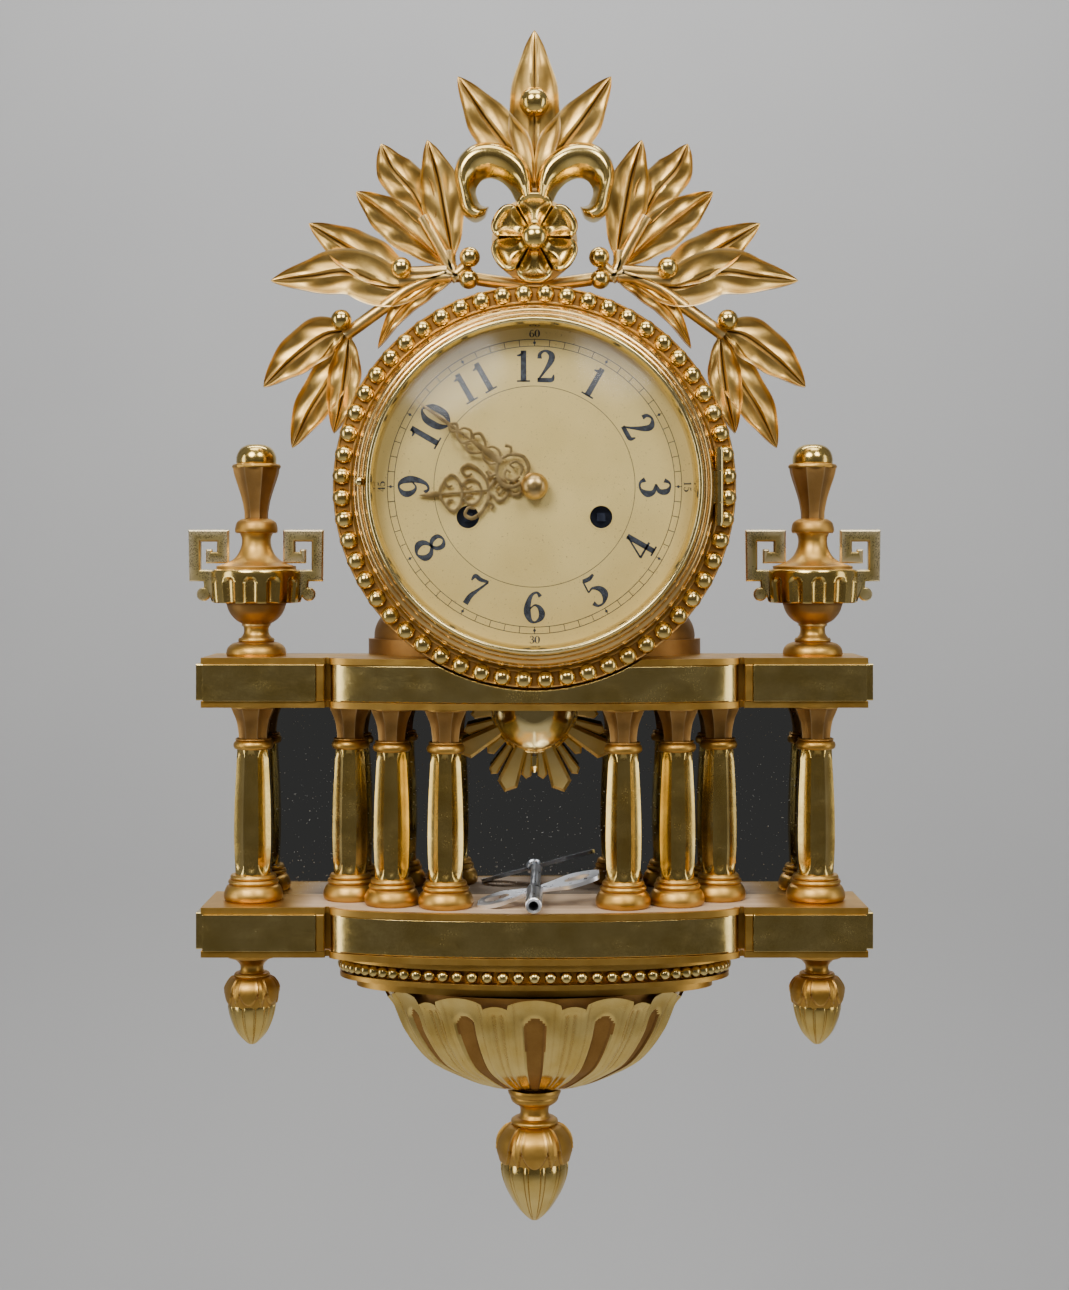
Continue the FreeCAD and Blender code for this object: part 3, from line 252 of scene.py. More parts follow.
def shelf_material():
    """Gilded shelf whose top between the columns is pale painted wood."""
    material, tree, shader = new_material("shelf_gilt", Metallic=1.0)
    tone = remap(tree, noise(tree, 70.0, 4.0), 0.35, 0.65)
    gold = mix_colour(tree, tone, GOLD_SATIN_LIGHT, GOLD_SATIN_DARK)
    grain = remap(tree, noise(tree, 40.0, 6.0, (0.3, 4.0, 4.0)), 0.35, 0.65)
    cream = mix_colour(tree, grain, (0.64, 0.47, 0.31, 1.0), (0.52, 0.36, 0.22, 1.0))
    geometry = node(tree, "ShaderNodeNewGeometry")
    normal = node(tree, "ShaderNodeSeparateXYZ")
    tree.links.new(geometry.outputs["Normal"], normal.inputs["Vector"])
    facing_up = remap(tree, normal.outputs["Z"], 0.8, 0.9)
    coords = node(tree, "ShaderNodeTexCoord")
    place = node(tree, "ShaderNodeSeparateXYZ")
    tree.links.new(coords.outputs["Object"], place.inputs["Vector"])
    across = combine(tree, "ABSOLUTE", place.outputs["X"], 0.0)
    inside = remap(tree, across, 0.112, 0.126, 1.0, 0.0)
    centre_y = WALL_Y - 0.048
    ratio = combine(tree, "DIVIDE", place.outputs["X"], 0.100)
    bow = combine(tree, "SUBTRACT", 1.0, combine(tree, "MULTIPLY", ratio, ratio))
    bow = combine(tree, "POWER", combine(tree, "MAXIMUM", bow, 0.0), 0.5)
    edge_y = combine(tree, "SUBTRACT", centre_y, combine(tree, "MULTIPLY", bow, 0.0185))
    behind_edge = combine(tree, "SUBTRACT", place.outputs["Y"], edge_y)
    behind_edge = remap(tree, behind_edge, -0.0004, 0.0004)
    mask = combine(tree, "MULTIPLY", facing_up, combine(tree, "MULTIPLY", inside, behind_edge))
    tree.links.new(mix_colour(tree, mask, gold, cream), shader.inputs["Base Color"])
    tree.links.new(combine(tree, "SUBTRACT", 1.0, mask), shader.inputs["Metallic"])
    tree.links.new(remap(tree, mask, 0.0, 1.0, 0.40, 0.55), shader.inputs["Roughness"])
    add_bump(tree, shader, noise(tree, 500.0, 3.0), 0.08, 0.0004)
    return material


GOLD_SATIN_LIGHT = (0.60, 0.355, 0.085, 1.0)
GOLD_SATIN_DARK = (0.48, 0.26, 0.05, 1.0)
# In the calls below, the third colour is painted shade that darkens the hollows; the last number brightens
# worn edges.
BURNISHED = gilding("burnished_leaf", (0.74, 0.54, 0.18, 1.0), (0.62, 0.42, 0.11, 1.0), 0.13, 0.09, 0.07,
                    (0.30, 0.14, 0.03, 1.0), 0.16)
WORN = gilding("worn_leaf", (0.60, 0.48, 0.20, 1.0), (0.47, 0.35, 0.12, 1.0), 0.22, 0.14, 0.10,
               (0.24, 0.13, 0.04, 1.0), 0.8)
SATIN = gilding("satin_gold", GOLD_SATIN_LIGHT, GOLD_SATIN_DARK, 0.36, 0.08, 0.10, (0.32, 0.16, 0.06, 1.0),
                0.35)
LEAFGOLD = gilding("leaf_gold", (0.66, 0.43, 0.13, 1.0), (0.50, 0.29, 0.07, 1.0), 0.29, 0.10, 0.16,
                   (0.06, 0.026, 0.008, 1.0), 0.45)
BRONZE = gilding("bronze_paint", (0.42, 0.235, 0.075, 1.0), (0.33, 0.175, 0.05, 1.0), 0.42, 0.10, 0.12,
                 (0.15, 0.07, 0.03, 1.0), 0.4)
FLUTE = gilding("flute_paint", (0.34, 0.18, 0.05, 1.0), (0.27, 0.135, 0.035, 1.0), 0.50, 0.10, 0.12,
                (0.15, 0.07, 0.03, 1.0), 0.2)
BRASS = metal("polished_brass", (0.80, 0.64, 0.29, 1.0), (0.72, 0.55, 0.22, 1.0), 0.12, 0.08,
              (1.0, 1.0, 1.0), 0.02)
ROSE = metal("lacquered_brass", (0.74, 0.50, 0.20, 1.0), (0.66, 0.42, 0.15, 1.0), 0.20, 0.06,
             (1.0, 1.0, 1.0), 0.01)
HANDS = metal("hand_brass", (0.66, 0.48, 0.22, 1.0), (0.50, 0.34, 0.13, 1.0), 0.27, 0.12, (1.0, 1.0, 1.0),
              0.2)
MOVEMENT = metal("movement_brass", (0.80, 0.64, 0.32, 1.0), (0.74, 0.57, 0.27, 1.0), 0.25, 0.15,
                 (0.05, 1.0, 1.0))
STEEL = metal("machined_steel", (0.60, 0.61, 0.63, 1.0), (0.50, 0.51, 0.53, 1.0), 0.22, 0.15,
              (0.05, 1.0, 1.0))
NICKEL = metal("nickel_plate", (0.93, 0.94, 0.97, 1.0), (0.84, 0.85, 0.89, 1.0), 0.26, 0.12, (1.0, 1.0, 1.0))
BLUED = metal("blued_steel", (0.10, 0.12, 0.18, 1.0), (0.06, 0.07, 0.11, 1.0), 0.30, 0.10, (1.0, 1.0, 1.0))
IRON = metal("cast_iron", (0.10, 0.10, 0.105, 1.0), (0.05, 0.05, 0.055, 1.0), 0.55, 0.20, (1.0, 1.0, 1.0),
             0.5)
PLAIN_BURNISHED = gilding("burnished_panel", (0.74, 0.57, 0.22, 1.0), (0.62, 0.45, 0.14, 1.0),
                          0.15, 0.08, 0.06)
PLAIN_SATIN = gilding("satin_mouldings", GOLD_SATIN_LIGHT, GOLD_SATIN_DARK, 0.33, 0.08, 0.10)
PLAIN_BRONZE = gilding("bronze_mouldings", (0.36, 0.195, 0.06, 1.0), (0.28, 0.145, 0.04, 1.0),
                       0.40, 0.10, 0.12)
PLAIN_LEAFGOLD = gilding("leaf_gold_ground", (0.62, 0.38, 0.12, 1.0), (0.50, 0.28, 0.08, 1.0),
                         0.32, 0.10, 0.12)
RAYS = gilding("ray_gold", (0.92, 0.70, 0.28, 1.0), (0.80, 0.56, 0.18, 1.0), 0.36, 0.10, 0.08)
MIRROR = dusty_mirror()
GLASS = clear_glass()
DIAL = dial_lacquer()
INK = ink()
PLYWOOD = bare_wood("plywood", (0.36, 0.24, 0.13, 1.0), (0.26, 0.16, 0.08, 1.0))
SHELF = shelf_material()

SLOT_MATERIALS = {"burnished_gilt": PLAIN_BURNISHED, "satin_gilt": PLAIN_SATIN, "bronze_gilt": PLAIN_BRONZE,
                  "leaf_gilt": PLAIN_LEAFGOLD,
                  "back_wood": PLYWOOD, "mirror": MIRROR, "polished_brass": BRASS, "clear_glass": GLASS,
                  "dial_enamel": DIAL, "hand_brass": HANDS, "movement_brass": MOVEMENT, "steel": STEEL,
                  "gong_steel": BLUED, "cast_block": IRON, "chrome_steel": NICKEL}


# ---------------------------------------------------------------- mesh tools
def finish_mesh(name, verts, faces, material, sharp=38.0):
    mesh = bpy.data.meshes.new(name)
    mesh.from_pydata([world(*v) for v in verts], [], faces)
    work = bmesh.new()
    work.from_mesh(mesh)
    bmesh.ops.remove_doubles(work, verts=work.verts, dist=2e-6)
    bmesh.ops.dissolve_degenerate(work, edges=work.edges, dist=1e-7)
    bmesh.ops.recalc_face_normals(work, faces=work.faces)
    work.to_mesh(mesh)
    work.free()
    mesh.shade_smooth()
    mesh.set_sharp_from_angle(angle=math.radians(sharp))
    mesh.materials.append(material)
    made = bpy.data.objects.new(name, mesh)
    bpy.context.scene.collection.objects.link(made)
    return made


class Shape:
    """Collects grids of points into one mesh."""

    def __init__(self):
        self.verts = []
        self.faces = []

    def grid(self, points, close_rows=False, close_columns=True, cap_start=False, cap_end=False):
        rows, columns = len(points), len(points[0])
        base = len(self.verts)
        for row in points:
            self.verts.extend(tuple(p) for p in row)
        for i in range(rows if close_rows else rows - 1):
            here, there = base + i * columns, base + ((i + 1) % rows) * columns
            for j in range(columns if close_columns else columns - 1):
                beside = (j + 1) % columns
                self.faces.append((here + j, here + beside, there + beside, there + j))
        if cap_start:
            self.faces.append(tuple(base + j for j in range(columns)))
        if cap_end:
            self.faces.append(tuple(base + (rows - 1) * columns + j for j in range(columns)))
        return self

    def make(self, name, material, sharp=38.0):
        return finish_mesh(name, self.verts, self.faces, material, sharp)


def curve(points, steps=6, closed=False):
    """Catmull-Rom curve through points of any dimension."""
    pts = np.array(points, dtype=float)
    count = len(pts)
    out = []
    spans = count if closed else count - 1
    for i in range(spans):
        if closed:
            p0, p1, p2, p3 = pts[(i - 1) % count], pts[i], pts[(i + 1) % count], pts[(i + 2) % count]
        else:
            p1, p2 = pts[i], pts[i + 1]
            p0 = pts[i - 1] if i else 2 * p1 - p2
            p3 = pts[i + 2] if i + 2 < count else 2 * p2 - p1
        for k in range(steps):
            t = k / steps
            out.append(0.5 * (2 * p1 + (p2 - p0) * t + (2 * p0 - 5 * p1 + 4 * p2 - p3) * t ** 2
                              + (3 * p1 - p0 - 3 * p2 + p3) * t ** 3))
    if not closed:
        out.append(pts[-1])
    return out


def joined(*pieces):
    """Profile made of smooth pieces that meet at corners."""
    out = []
    for piece in pieces:
        out.extend(curve(piece, 5) if len(piece) > 2 else [np.array(point, float) for point in piece])
    return out


def dense(profile, longest):
    """The same profile with no step longer than the given length."""
    out = [profile[0]]
    for a, b in zip(profile, profile[1:]):
        parts = max(1, int(math.ceil(np.linalg.norm(b - a) / longest)))
        out.extend(a + (b - a) * (k + 1) / parts for k in range(parts))
    return out


def lathe(profile, x, depth, segments=64, change=None, squash=1.0):
    """Turned about an upright axis; change(angle, r, z) gives a new radius. Angle 0 faces the front."""
    rows = []
    for r, z in profile:
        row = []
        for k in range(segments):
            angle = 2 * math.pi * k / segments
            radius = change(angle, r, z) if change else r
            row.append((x + radius * math.sin(angle), depth + squash * radius * math.cos(angle), z))
        rows.append(row)
    return rows


def lathe_flat(profile, x, z, segments=128):
    """Turned about an axis along the depth; the profile holds (radius, depth)."""
    return [[(x + r * math.sin(2 * math.pi * k / segments), d, z + r * math.cos(2 * math.pi * k / segments))
             for k in range(segments)] for r, d in profile]


def ball(x, depth, z, radius, rows=10, columns=20):
    profile = [(radius * math.sin(math.pi * i / rows), depth + radius * math.cos(math.pi * i / rows))
               for i in range(rows + 1)]
    return [[(x + r * math.sin(2 * math.pi * k / columns), d, z + r * math.cos(2 * math.pi * k / columns))
             for k in range(columns)] for r, d in profile]


def polar(radius, degrees):
    """Clock angle: 0 is up, clockwise from the front."""
    angle = math.radians(degrees)
    return (radius * math.sin(angle), radius * math.cos(angle))


def strip_rows(points, depth0, depth1, steps=5, closed=False, crown=0.0):
    """Flat ribbon of changing half width: points are (x, z, half width)."""
    path = np.array(curve(points, steps, closed))
    count = len(path)
    rows = []
    for i in range(count):
        before = path[(i - 1) % count] if closed or i else path[i]
        after = path[(i + 1) % count] if closed or i + 1 < count else path[i]
        along = after[:2] - before[:2]
        along = along / (np.linalg.norm(along) + 1e-9)
        side = np.array((-along[1], along[0])) * path[i][2]
        left, right = path[i][:2] + side, path[i][:2] - side
        rows.append([(left[0], depth0, left[1]), (left[0], depth1, left[1]),
                     (path[i][0], depth1 + crown * path[i][2], path[i][1]), (right[0], depth1, right[1]),
                     (right[0], depth0, right[1])])
    return rows


def tube_rows(points, steps=6, sides=14, squash=1.0):
    """Round tube of changing radius along (x, depth, z, radius) points."""
    path = np.array(curve(points, steps))
    rows = []
    for i, point in enumerate(path):
        along = path[min(i + 1, len(path) - 1)][:3] - path[max(i - 1, 0)][:3]
        along = along / np.linalg.norm(along)
        across = np.cross(along, (0.0, 1.0, 0.0))
        across = across / (np.linalg.norm(across) + 1e-9)
        up = np.cross(across, along)
        rows.append([tuple(point[:3] + point[3] * (across * math.cos(a) + squash * up * math.sin(a)))
                     for a in (2 * math.pi * k / sides for k in range(sides))])
    return rows


def settle(piece, body="case", replaces=()):
    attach(piece, body)
    if replaces:
        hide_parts(*replaces)
    return piece


# ---------------------------------------------------------------- columns
def fluting(count, depth, low=None, high=None):
    """Concave flutes, one facing the front, fading out beyond the low and high heights."""
    def change(angle, r, z):
        across = 2.0 * ((angle * count / (2 * math.pi) + 0.5) % 1.0) - 1.0
        hollow = 1.0 - across * across
        if low is not None:
            below = min(1.0, max(0.0, (z - low) / 3.0 + hollow))
            above = min(1.0, max(0.0, (high - z) / 3.0 + hollow))
            hollow *= below * above
        return r * (1.0 - depth * hollow)
    return change


def build_columns(name, places, base_r, shaft_r):
    shafts, rings, capitals = Shape(), Shape(), Shape()
    z = LOWER_TOP
    for x, depth in places:
        foot = joined([(base_r - 1.2, z), (base_r - 0.2, z + 1.2), (base_r, z + 3.6), (base_r - 1.2, z + 6.8),
                       (base_r - 2.9, z + 8.4)],
                      [(base_r - 2.6, z + 8.5), (base_r - 2.1, z + 9.6), (base_r - 2.7, z + 10.7)],
                      [(base_r - 3.7, z + 10.8), (base_r - 3.2, z + 12.0), (base_r - 3.9, z + 13.2)],
                      [(base_r - 3.9, z + 13.2), (shaft_r - 1.6, z + 13.4)])
        collar = joined([(shaft_r - 2.4, z + 77.0), (shaft_r - 0.6, z + 77.6), (shaft_r, z + 79.2),
                         (shaft_r - 0.5, z + 80.9), (shaft_r - 1.6, z + 81.8)],
                        [(shaft_r - 1.2, z + 81.9), (shaft_r - 0.9, z + 82.4), (shaft_r - 1.6, z + 82.9)])
        abacus = joined([(shaft_r + 0.2, z + 98.0), (shaft_r + 1.5, z + 98.5), (shaft_r + 1.5, z + 99.9)])
        for profile in (foot, collar, abacus):
            rings.grid(lathe(profile, x, depth, 48))
        shaft = curve([(shaft_r - 1.0, z + 13.0), (shaft_r - 0.35, z + 22.0), (shaft_r, z + 34.0),
                       (shaft_r - 0.35, z + 52.0), (shaft_r - 1.2, z + 68.0), (shaft_r - 1.75, z + 77.4)], 10)
        shafts.grid(lathe(shaft, x, depth, 96, fluting(8, 0.115, z + 17.0, z + 75.0)))
        capital = curve([(shaft_r - 2.5, z + 82.4), (shaft_r - 2.3, z + 86.0), (shaft_r - 1.2, z + 92.0),
                         (shaft_r + 0.9, z + 97.0), (shaft_r + 1.4, z + 98.4)], 6)
        capitals.grid(lathe(capital, x, depth, 96, fluting(8, 0.13)))
    settle(shafts.make(name + "_shafts", BURNISHED), replaces=[name])
    settle(rings.make(name + "_rings", SATIN), replaces=[name])
    settle(capitals.make(name + "_capitals", BRONZE), replaces=[name])


build_columns("end_columns", [(-END_COLUMN_X, ROW_DEPTH), (END_COLUMN_X, ROW_DEPTH)], 15.0, 10.2)
build_columns("inner_columns", [(side * x, depth) for x, depth in INNER_COLUMNS for side in (-1, 1)], 13.9,
              9.6)


# ---------------------------------------------------------------- urns
BAND_FLUTES = 12
BAND_LOW, BAND_HIGH = 27.0, 44.0


def band_flutes(angle, r, z):
    """Arched flutes, open below, round the urn's widest band."""
    h = z - SHELF_TOP
    across = abs(2.0 * ((angle * BAND_FLUTES / (2 * math.pi) + 0.5) % 1.0) - 1.0) / 0.56
    if across >= 1.0 or h < BAND_LOW - 0.1:
        return r
    arch = math.sqrt(1.0 - across * across)
    top = BAND_HIGH - 7.0 + 3.4 * arch
    return r - 2.0 * arch * min(1.0, max(0.0, (top - h) / 0.9))


def rim_scallops(angle, r, z):
    return r * (1.0 - 0.05 * abs(math.sin(4 * angle)))


def build_urns():
    polished, satin, bronze = Shape(), Shape(), Shape()
    z = SHELF_TOP
    foot = joined([(15.0, z), (15.3, z + 1.5), (14.6, z + 4.0), (12.6, z + 6.0), (10.2, z + 6.9)],
                  [(8.9, z + 7.0), (9.3, z + 8.0), (8.8, z + 9.1)],
                  [(7.9, z + 9.2), (6.6, z + 11.2), (6.3, z + 13.4), (6.7, z + 15.2)],
                  [(7.4, z + 15.3), (7.3, z + 16.4)])
    bowl = joined([(7.2, z + 16.3), (10.6, z + 18.4), (13.6, z + 22.0), (15.4, z + 26.9)],
                  [(15.4, z + 26.9), (21.4, z + 27.1)])
    band = dense(joined([(21.4, z + 27.1), (22.0, z + 27.8), (22.6, z + 34.0), (22.9, z + 41.0),
                         (22.6, z + 43.4), (21.9, z + 44.0)]), 0.7)
    shoulder = joined([(21.9, z + 44.0), (20.4, z + 44.3)],
                      [(20.2, z + 44.3), (20.3, z + 45.6), (19.6, z + 46.0)],
                      [(19.0, z + 46.1), (14.4, z + 47.6), (10.4, z + 50.6), (8.2, z + 54.4), (7.4, z + 58.0),
                       (7.6, z + 60.6), (8.4, z + 62.6)],
                      [(10.2, z + 62.7), (10.8, z + 63.4), (10.8, z + 65.4), (9.9, z + 68.2),
                       (7.6, z + 69.8), (6.2, z + 70.1)])
    neck = curve([(6.2, z + 70.0), (6.4, z + 74.0), (7.6, z + 80.0), (9.6, z + 86.4), (11.6, z + 92.4),
                  (12.4, z + 96.2)], 6)
    rim = joined([(12.4, z + 96.0), (12.5, z + 97.0), (11.8, z + 97.9), (10.2, z + 98.3)])
    dome = joined([(10.0, z + 98.1), (10.3, z + 99.4), (9.9, z + 102.6), (8.0, z + 106.0), (4.6, z + 107.9),
                   (0.01, z + 108.3)])
    for x in (-URN_X, URN_X):
        satin.grid(lathe(foot, x, ROW_DEPTH))
        bronze.grid(lathe(bowl, x, ROW_DEPTH))
        polished.grid(lathe(band, x, ROW_DEPTH, BAND_FLUTES * 16, band_flutes))
        satin.grid(lathe(shoulder, x, ROW_DEPTH))
        bronze.grid(lathe(neck, x, ROW_DEPTH, 96, fluting(8, 0.12)))
        satin.grid(lathe(rim, x, ROW_DEPTH, 96, rim_scallops))
        polished.grid(lathe(dome, x, ROW_DEPTH))
    settle(polished.make("urn_bodies", BURNISHED), replaces=["urns"])
    settle(satin.make("urn_mouldings", SATIN), replaces=["urns"])
    settle(bronze.make("urn_necks", BRONZE), replaces=["urns"])


def grown(points, distance):
    """Closed outline moved inwards by a distance (negative is outwards)."""
    pts = np.array(points, float)
    ahead = np.roll(pts, -1, 0) - pts
    behind = pts - np.roll(pts, 1, 0)
    area = 0.5 * sum(p[0] * q[1] - q[0] * p[1] for p, q in zip(pts, np.roll(pts, -1, 0)))
    turn = 1.0 if area > 0 else -1.0
    moved = []
    for p, a, b in zip(pts, behind, ahead):
        n1 = turn * np.array((-a[1], a[0])) / (np.linalg.norm(a) + 1e-9)
        n2 = turn * np.array((-b[1], b[0])) / (np.linalg.norm(b) + 1e-9)
        middle = n1 + n2
        middle /= max(0.5, np.dot(middle, n1))
        moved.append(p + distance * middle)
    return np.array(moved)


def slab(shape, points, back, front, bevel):
    """Flat plate with bevelled front edges."""
    inner = grown(points, bevel)
    rows = [[(p[0], back, p[1]) for p in points], [(p[0], front - bevel, p[1]) for p in points],
            [(p[0], front, p[1]) for p in inner]]
    shape.grid(rows, cap_start=True, cap_end=True)


def build_handles():
    """Greek-key handles: distance from the urn's axis, height above the shelf."""
    lobe = [(26.9 + 3.5 * math.cos(math.radians(a)), 31.4 + 3.5 * math.sin(math.radians(a)))
            for a in range(95, -171, -15)]
    outside = [(13.9, 64.3), (34.6, 64.3), (34.2, 38.0), (26.9, 38.0)]
    inside = [(22.6, 27.4), (21.8, 27.4), (21.8, 43.9), (28.4, 43.9), (28.4, 58.3), (20.0, 58.3),
              (20.0, 53.1),
              (22.5, 53.1), (22.5, 54.4), (25.6, 54.4), (25.6, 47.2), (13.9, 47.2)]
    key = outside + lobe + inside
    shape = Shape()
    for centre in (-URN_X, URN_X):
        for side in (-1, 1):
            slab(shape, [(centre + side * u, SHELF_TOP + h) for u, h in key], ROW_DEPTH - 2.0,
                 ROW_DEPTH + 2.0, 0.7)
    settle(shape.make("greek_key_handles", WORN, 25.0), replaces=["urn_handles"])


build_urns()
build_handles()

# ---------------------------------------------------------------- bowl and pendants
BOWL_TOP = local_box("bowl")[2][1]
BOWL_LOW = local_box("bowl")[2][0]
BOWL_HALF = 77.0
BOWL_SQUASH = 0.52
PENDANT_DEPTH = 26.0
PENDANT_TIP = local_box("bowl_pendant")[2][0]
SMALL_PENDANT_X = 144.7
SMALL_TIP = local_box("small_pendants")[2][0]
PETAL_PITCH = 30.0
PETAL_HALF = 10.0


def smooth(value, low, high):
    t = min(1.0, max(0.0, (value - low) / (high - low)))
    return t * t * (3.0 - 2.0 * t)


def petal_relief(degrees_round, t):
    """Drop of the rim and inward offset of a point on the bowl; t runs from the rim to the bottom."""
    off = (degrees_round + PETAL_PITCH / 2) % PETAL_PITCH - PETAL_PITCH / 2
    wide = abs(off) < PETAL_HALF
    if wide:
        u = off / PETAL_HALF
        drop = 2.6 * u * u
        rim = 0.9 * smooth(abs(u), 0.80, 0.92)
        tongue_half = 0.50 - 0.06 * t
        inner = max(abs(u) / tongue_half, 0.0)
        top = 0.17 + 0.07 * min(1.0, inner) ** 2
        inside = (1.0 - smooth(inner, 0.86, 1.0)) * smooth(t, top - 0.02, top + 0.02)
        inside *= 1.0 - smooth(t, 0.93, 0.97)
        border = math.exp(-((inner - 1.08) / 0.10) ** 2) * smooth(t, 0.15, 0.2)
        return drop, 0.5 - rim + 1.7 * inside - 0.4 * border + 0.35 * u * u, inside > 0.5
    v = (abs(off) - PETAL_PITCH / 2) / (PETAL_PITCH / 2 - PETAL_HALF)
    drop = 3.6 + 1.6 * v * v
    groove = (1.0 - smooth(abs(v), 0.42, 0.58)) * smooth(t, 0.06, 0.10)
    ridge = math.exp(-(v / 0.14) ** 2)
    return drop, 1.6 - 0.5 * smooth(abs(v), 0.75, 0.95) + 1.0 * groove - 1.1 * groove * ridge, False


def build_bowl():
    silhouette = curve([(1.0, 0.0), (0.95, 0.11), (0.867, 0.40), (0.725, 0.68), (0.557, 0.83), (0.367, 0.95),
                        (0.2, 1.0)], 14)
    golden, tongues = Shape(), Shape()
    steps = 384
    rows, flags = [], []
    for fraction, t in silhouette:
        row, flag = [], []
        for k in range(steps + 1):
            degrees_round = -105.0 + 210.0 * k / steps
            drop, inward, tongue = petal_relief(degrees_round, t)
            radius = BOWL_HALF * fraction - inward * (0.35 + 0.65 * fraction)
            angle = math.radians(degrees_round)
            z = BOWL_TOP - drop * (1.0 - t) - t * (BOWL_TOP - BOWL_LOW)
            depth = PENDANT_DEPTH + BOWL_SQUASH * radius * math.cos(angle)
            row.append((radius * math.sin(angle), max(0.2, depth), z))
            flag.append(tongue)
        rows.append(row)
        flags.append(flag)
    for shape, wanted in ((golden, False), (tongues, True)):
        shape.verts = [p for row in rows for p in row]
        for i in range(len(rows) - 1):
            for j in range(steps):
                if flags[i][j] == wanted:
                    a = i * (steps + 1) + j
                    shape.faces.append((a, a + 1, a + steps + 2, a + steps + 1))
    under = [(r, z) for r, z in ((15.6, BOWL_LOW + 0.2), (15.6, BOWL_LOW), (0.01, BOWL_LOW))]
    golden.grid(lathe(under, 0, PENDANT_DEPTH, 64, squash=BOWL_SQUASH))
    # A darker sheet inside the bowl: painted shade seen past the petal rim.
    inner = [(70.0, BOWL_TOP), (70.0, BOWL_TOP - 5.0), (30.0, BOWL_LOW + 8.0), (0.01, BOWL_LOW + 4.0)]
    recess = [[(x, max(0.2, d), z) for x, d, z in row]
              for row in lathe(inner, 0, PENDANT_DEPTH, 96, squash=BOWL_SQUASH)]
    shadow = Shape().grid(recess)
    settle(drop_loose(golden.make("bowl_petals", BURNISHED, 30.0)), replaces=["bowl"])
    settle(drop_loose(tongues.make("bowl_tongues", FLUTE, 30.0)), replaces=["bowl"])
    settle(shadow.make("bowl_shade_lining", FLUTE), replaces=["bowl"])


def drop_loose(piece):
    work = bmesh.new()
    work.from_mesh(piece.data)
    loose = [v for v in work.verts if not v.link_faces]
    bmesh.ops.delete(work, geom=loose, context="VERTS")
    work.to_mesh(piece.data)
    work.free()
    return piece


def calyx(count, length, lift):
    """Rounded leaves hanging over an acorn, with pointed ones between."""
    def change(angle, r, h):
        off = 2.0 * ((angle * count / (2 * math.pi) + 0.5) % 1.0) - 1.0
        u = abs(off) / 0.74
        v = (1.0 - abs(off)) / 0.30
        t = h / length
        arch = 0.80 * math.sqrt(max(0.0, 1 - u * u))
        main = (1.0 - smooth(u, 0.94, 1.0)) * (1.0 - smooth(t, arch + 0.14, arch + 0.19))
        rim = smooth(u, 0.72, 0.86) * 0.35
        dish = 0.30 * (1.0 - u * u)
        under = (1.0 - smooth(v, 0.9, 1.0)) * (1.0 - smooth(t, 1.0 - 0.5 * v, 1.05 - 0.5 * v)) * 0.55
        ridge = 0.25 * math.exp(-(v / 0.15) ** 2)
        return r + lift * max(main * (1.0 + rim - dish), under * (1 + ridge))
    return change


def build_pendants():
    satin, polished = Shape(), Shape()
    z = BOWL_LOW
    collar = joined([(13.4, z), (13.6, z - 1.6), (13.0, z - 3.4)],
                    [(12.2, z - 3.6), (12.4, z - 4.8), (11.6, z - 6.6), (9.8, z - 8.0)],
                    [(8.6, z - 8.2), (7.5, z - 10.0), (7.3, z - 13.0), (8.4, z - 15.0)],
                    [(10.6, z - 15.4), (11.9, z - 16.4), (11.9, z - 17.8), (10.6, z - 18.8)])
    satin.grid(lathe(collar, 0, PENDANT_DEPTH))
    cup_top = z - 18.4
    cup = dense(curve([(10.4, 0.0), (13.6, 1.4), (17.2, 6.0), (18.6, 12.0), (17.6, 17.0), (16.6, 20.4)], 6),
                0.5)
    shaper = calyx(6, 19.5, 1.7)
    rows = []
    for r, h in cup:
        rows.append([(shaper(a, r - 0.3, h) * math.sin(a),
                      PENDANT_DEPTH + shaper(a, r - 0.3, h) * math.cos(a), cup_top - h)
                     for a in (2 * math.pi * k / 216 for k in range(216))])
    satin.grid(rows)
    body = curve([(16.9, cup_top - 17.0), (17.4, cup_top - 21.5), (16.6, cup_top - 27.0),
                  (13.4, cup_top - 35.0),
                  (8.0, cup_top - 43.5), (2.6, PENDANT_TIP + 0.8), (0.01, PENDANT_TIP)], 8)
    polished.grid(lathe(body, 0, PENDANT_DEPTH, 192, meridians(12)))
    for x in (-SMALL_PENDANT_X, SMALL_PENDANT_X):
        z = LOWER_BOTTOM
        collar = joined([(13.8, z), (14.0, z - 1.8), (12.8, z - 3.8)],
                        [(11.2, z - 4.0), (8.6, z - 5.4), (6.2, z - 8.0), (5.9, z - 10.4), (6.6, z - 12.0)],
                        [(8.6, z - 12.2), (9.2, z - 13.2), (8.4, z - 14.2)])
        satin.grid(lathe(collar, x, ROW_DEPTH, 48))
        cup_top = z - 13.8
        cup = dense(curve([(7.6, 0.0), (10.2, 1.2), (12.6, 5.0), (13.0, 9.5), (12.2, 14.6)], 6), 0.5)
        shaper = calyx(6, 13.6, 1.1)
        rows = []
        for r, h in cup:
            rows.append([(x + shaper(a, r, h) * math.sin(a), ROW_DEPTH + shaper(a, r, h) * math.cos(a),
                          cup_top - h)
                         for a in (2 * math.pi * k / 144 for k in range(144))])
        satin.grid(rows)
        body = curve([(12.2, cup_top - 12.6), (12.2, cup_top - 16.0), (10.8, cup_top - 22.0),
                      (7.6, cup_top - 29.0),
                      (2.4, SMALL_TIP + 0.7), (0.01, SMALL_TIP)], 8)
        polished.grid(lathe(body, x, ROW_DEPTH, 144, meridians(12)))
    settle(satin.make("pendant_leaves", SATIN, 30.0),
           replaces=["bowl_pendant", "small_pendants"])
    settle(polished.make("pendant_acorns", BURNISHED, 30.0),
           replaces=["bowl_pendant", "small_pendants"])


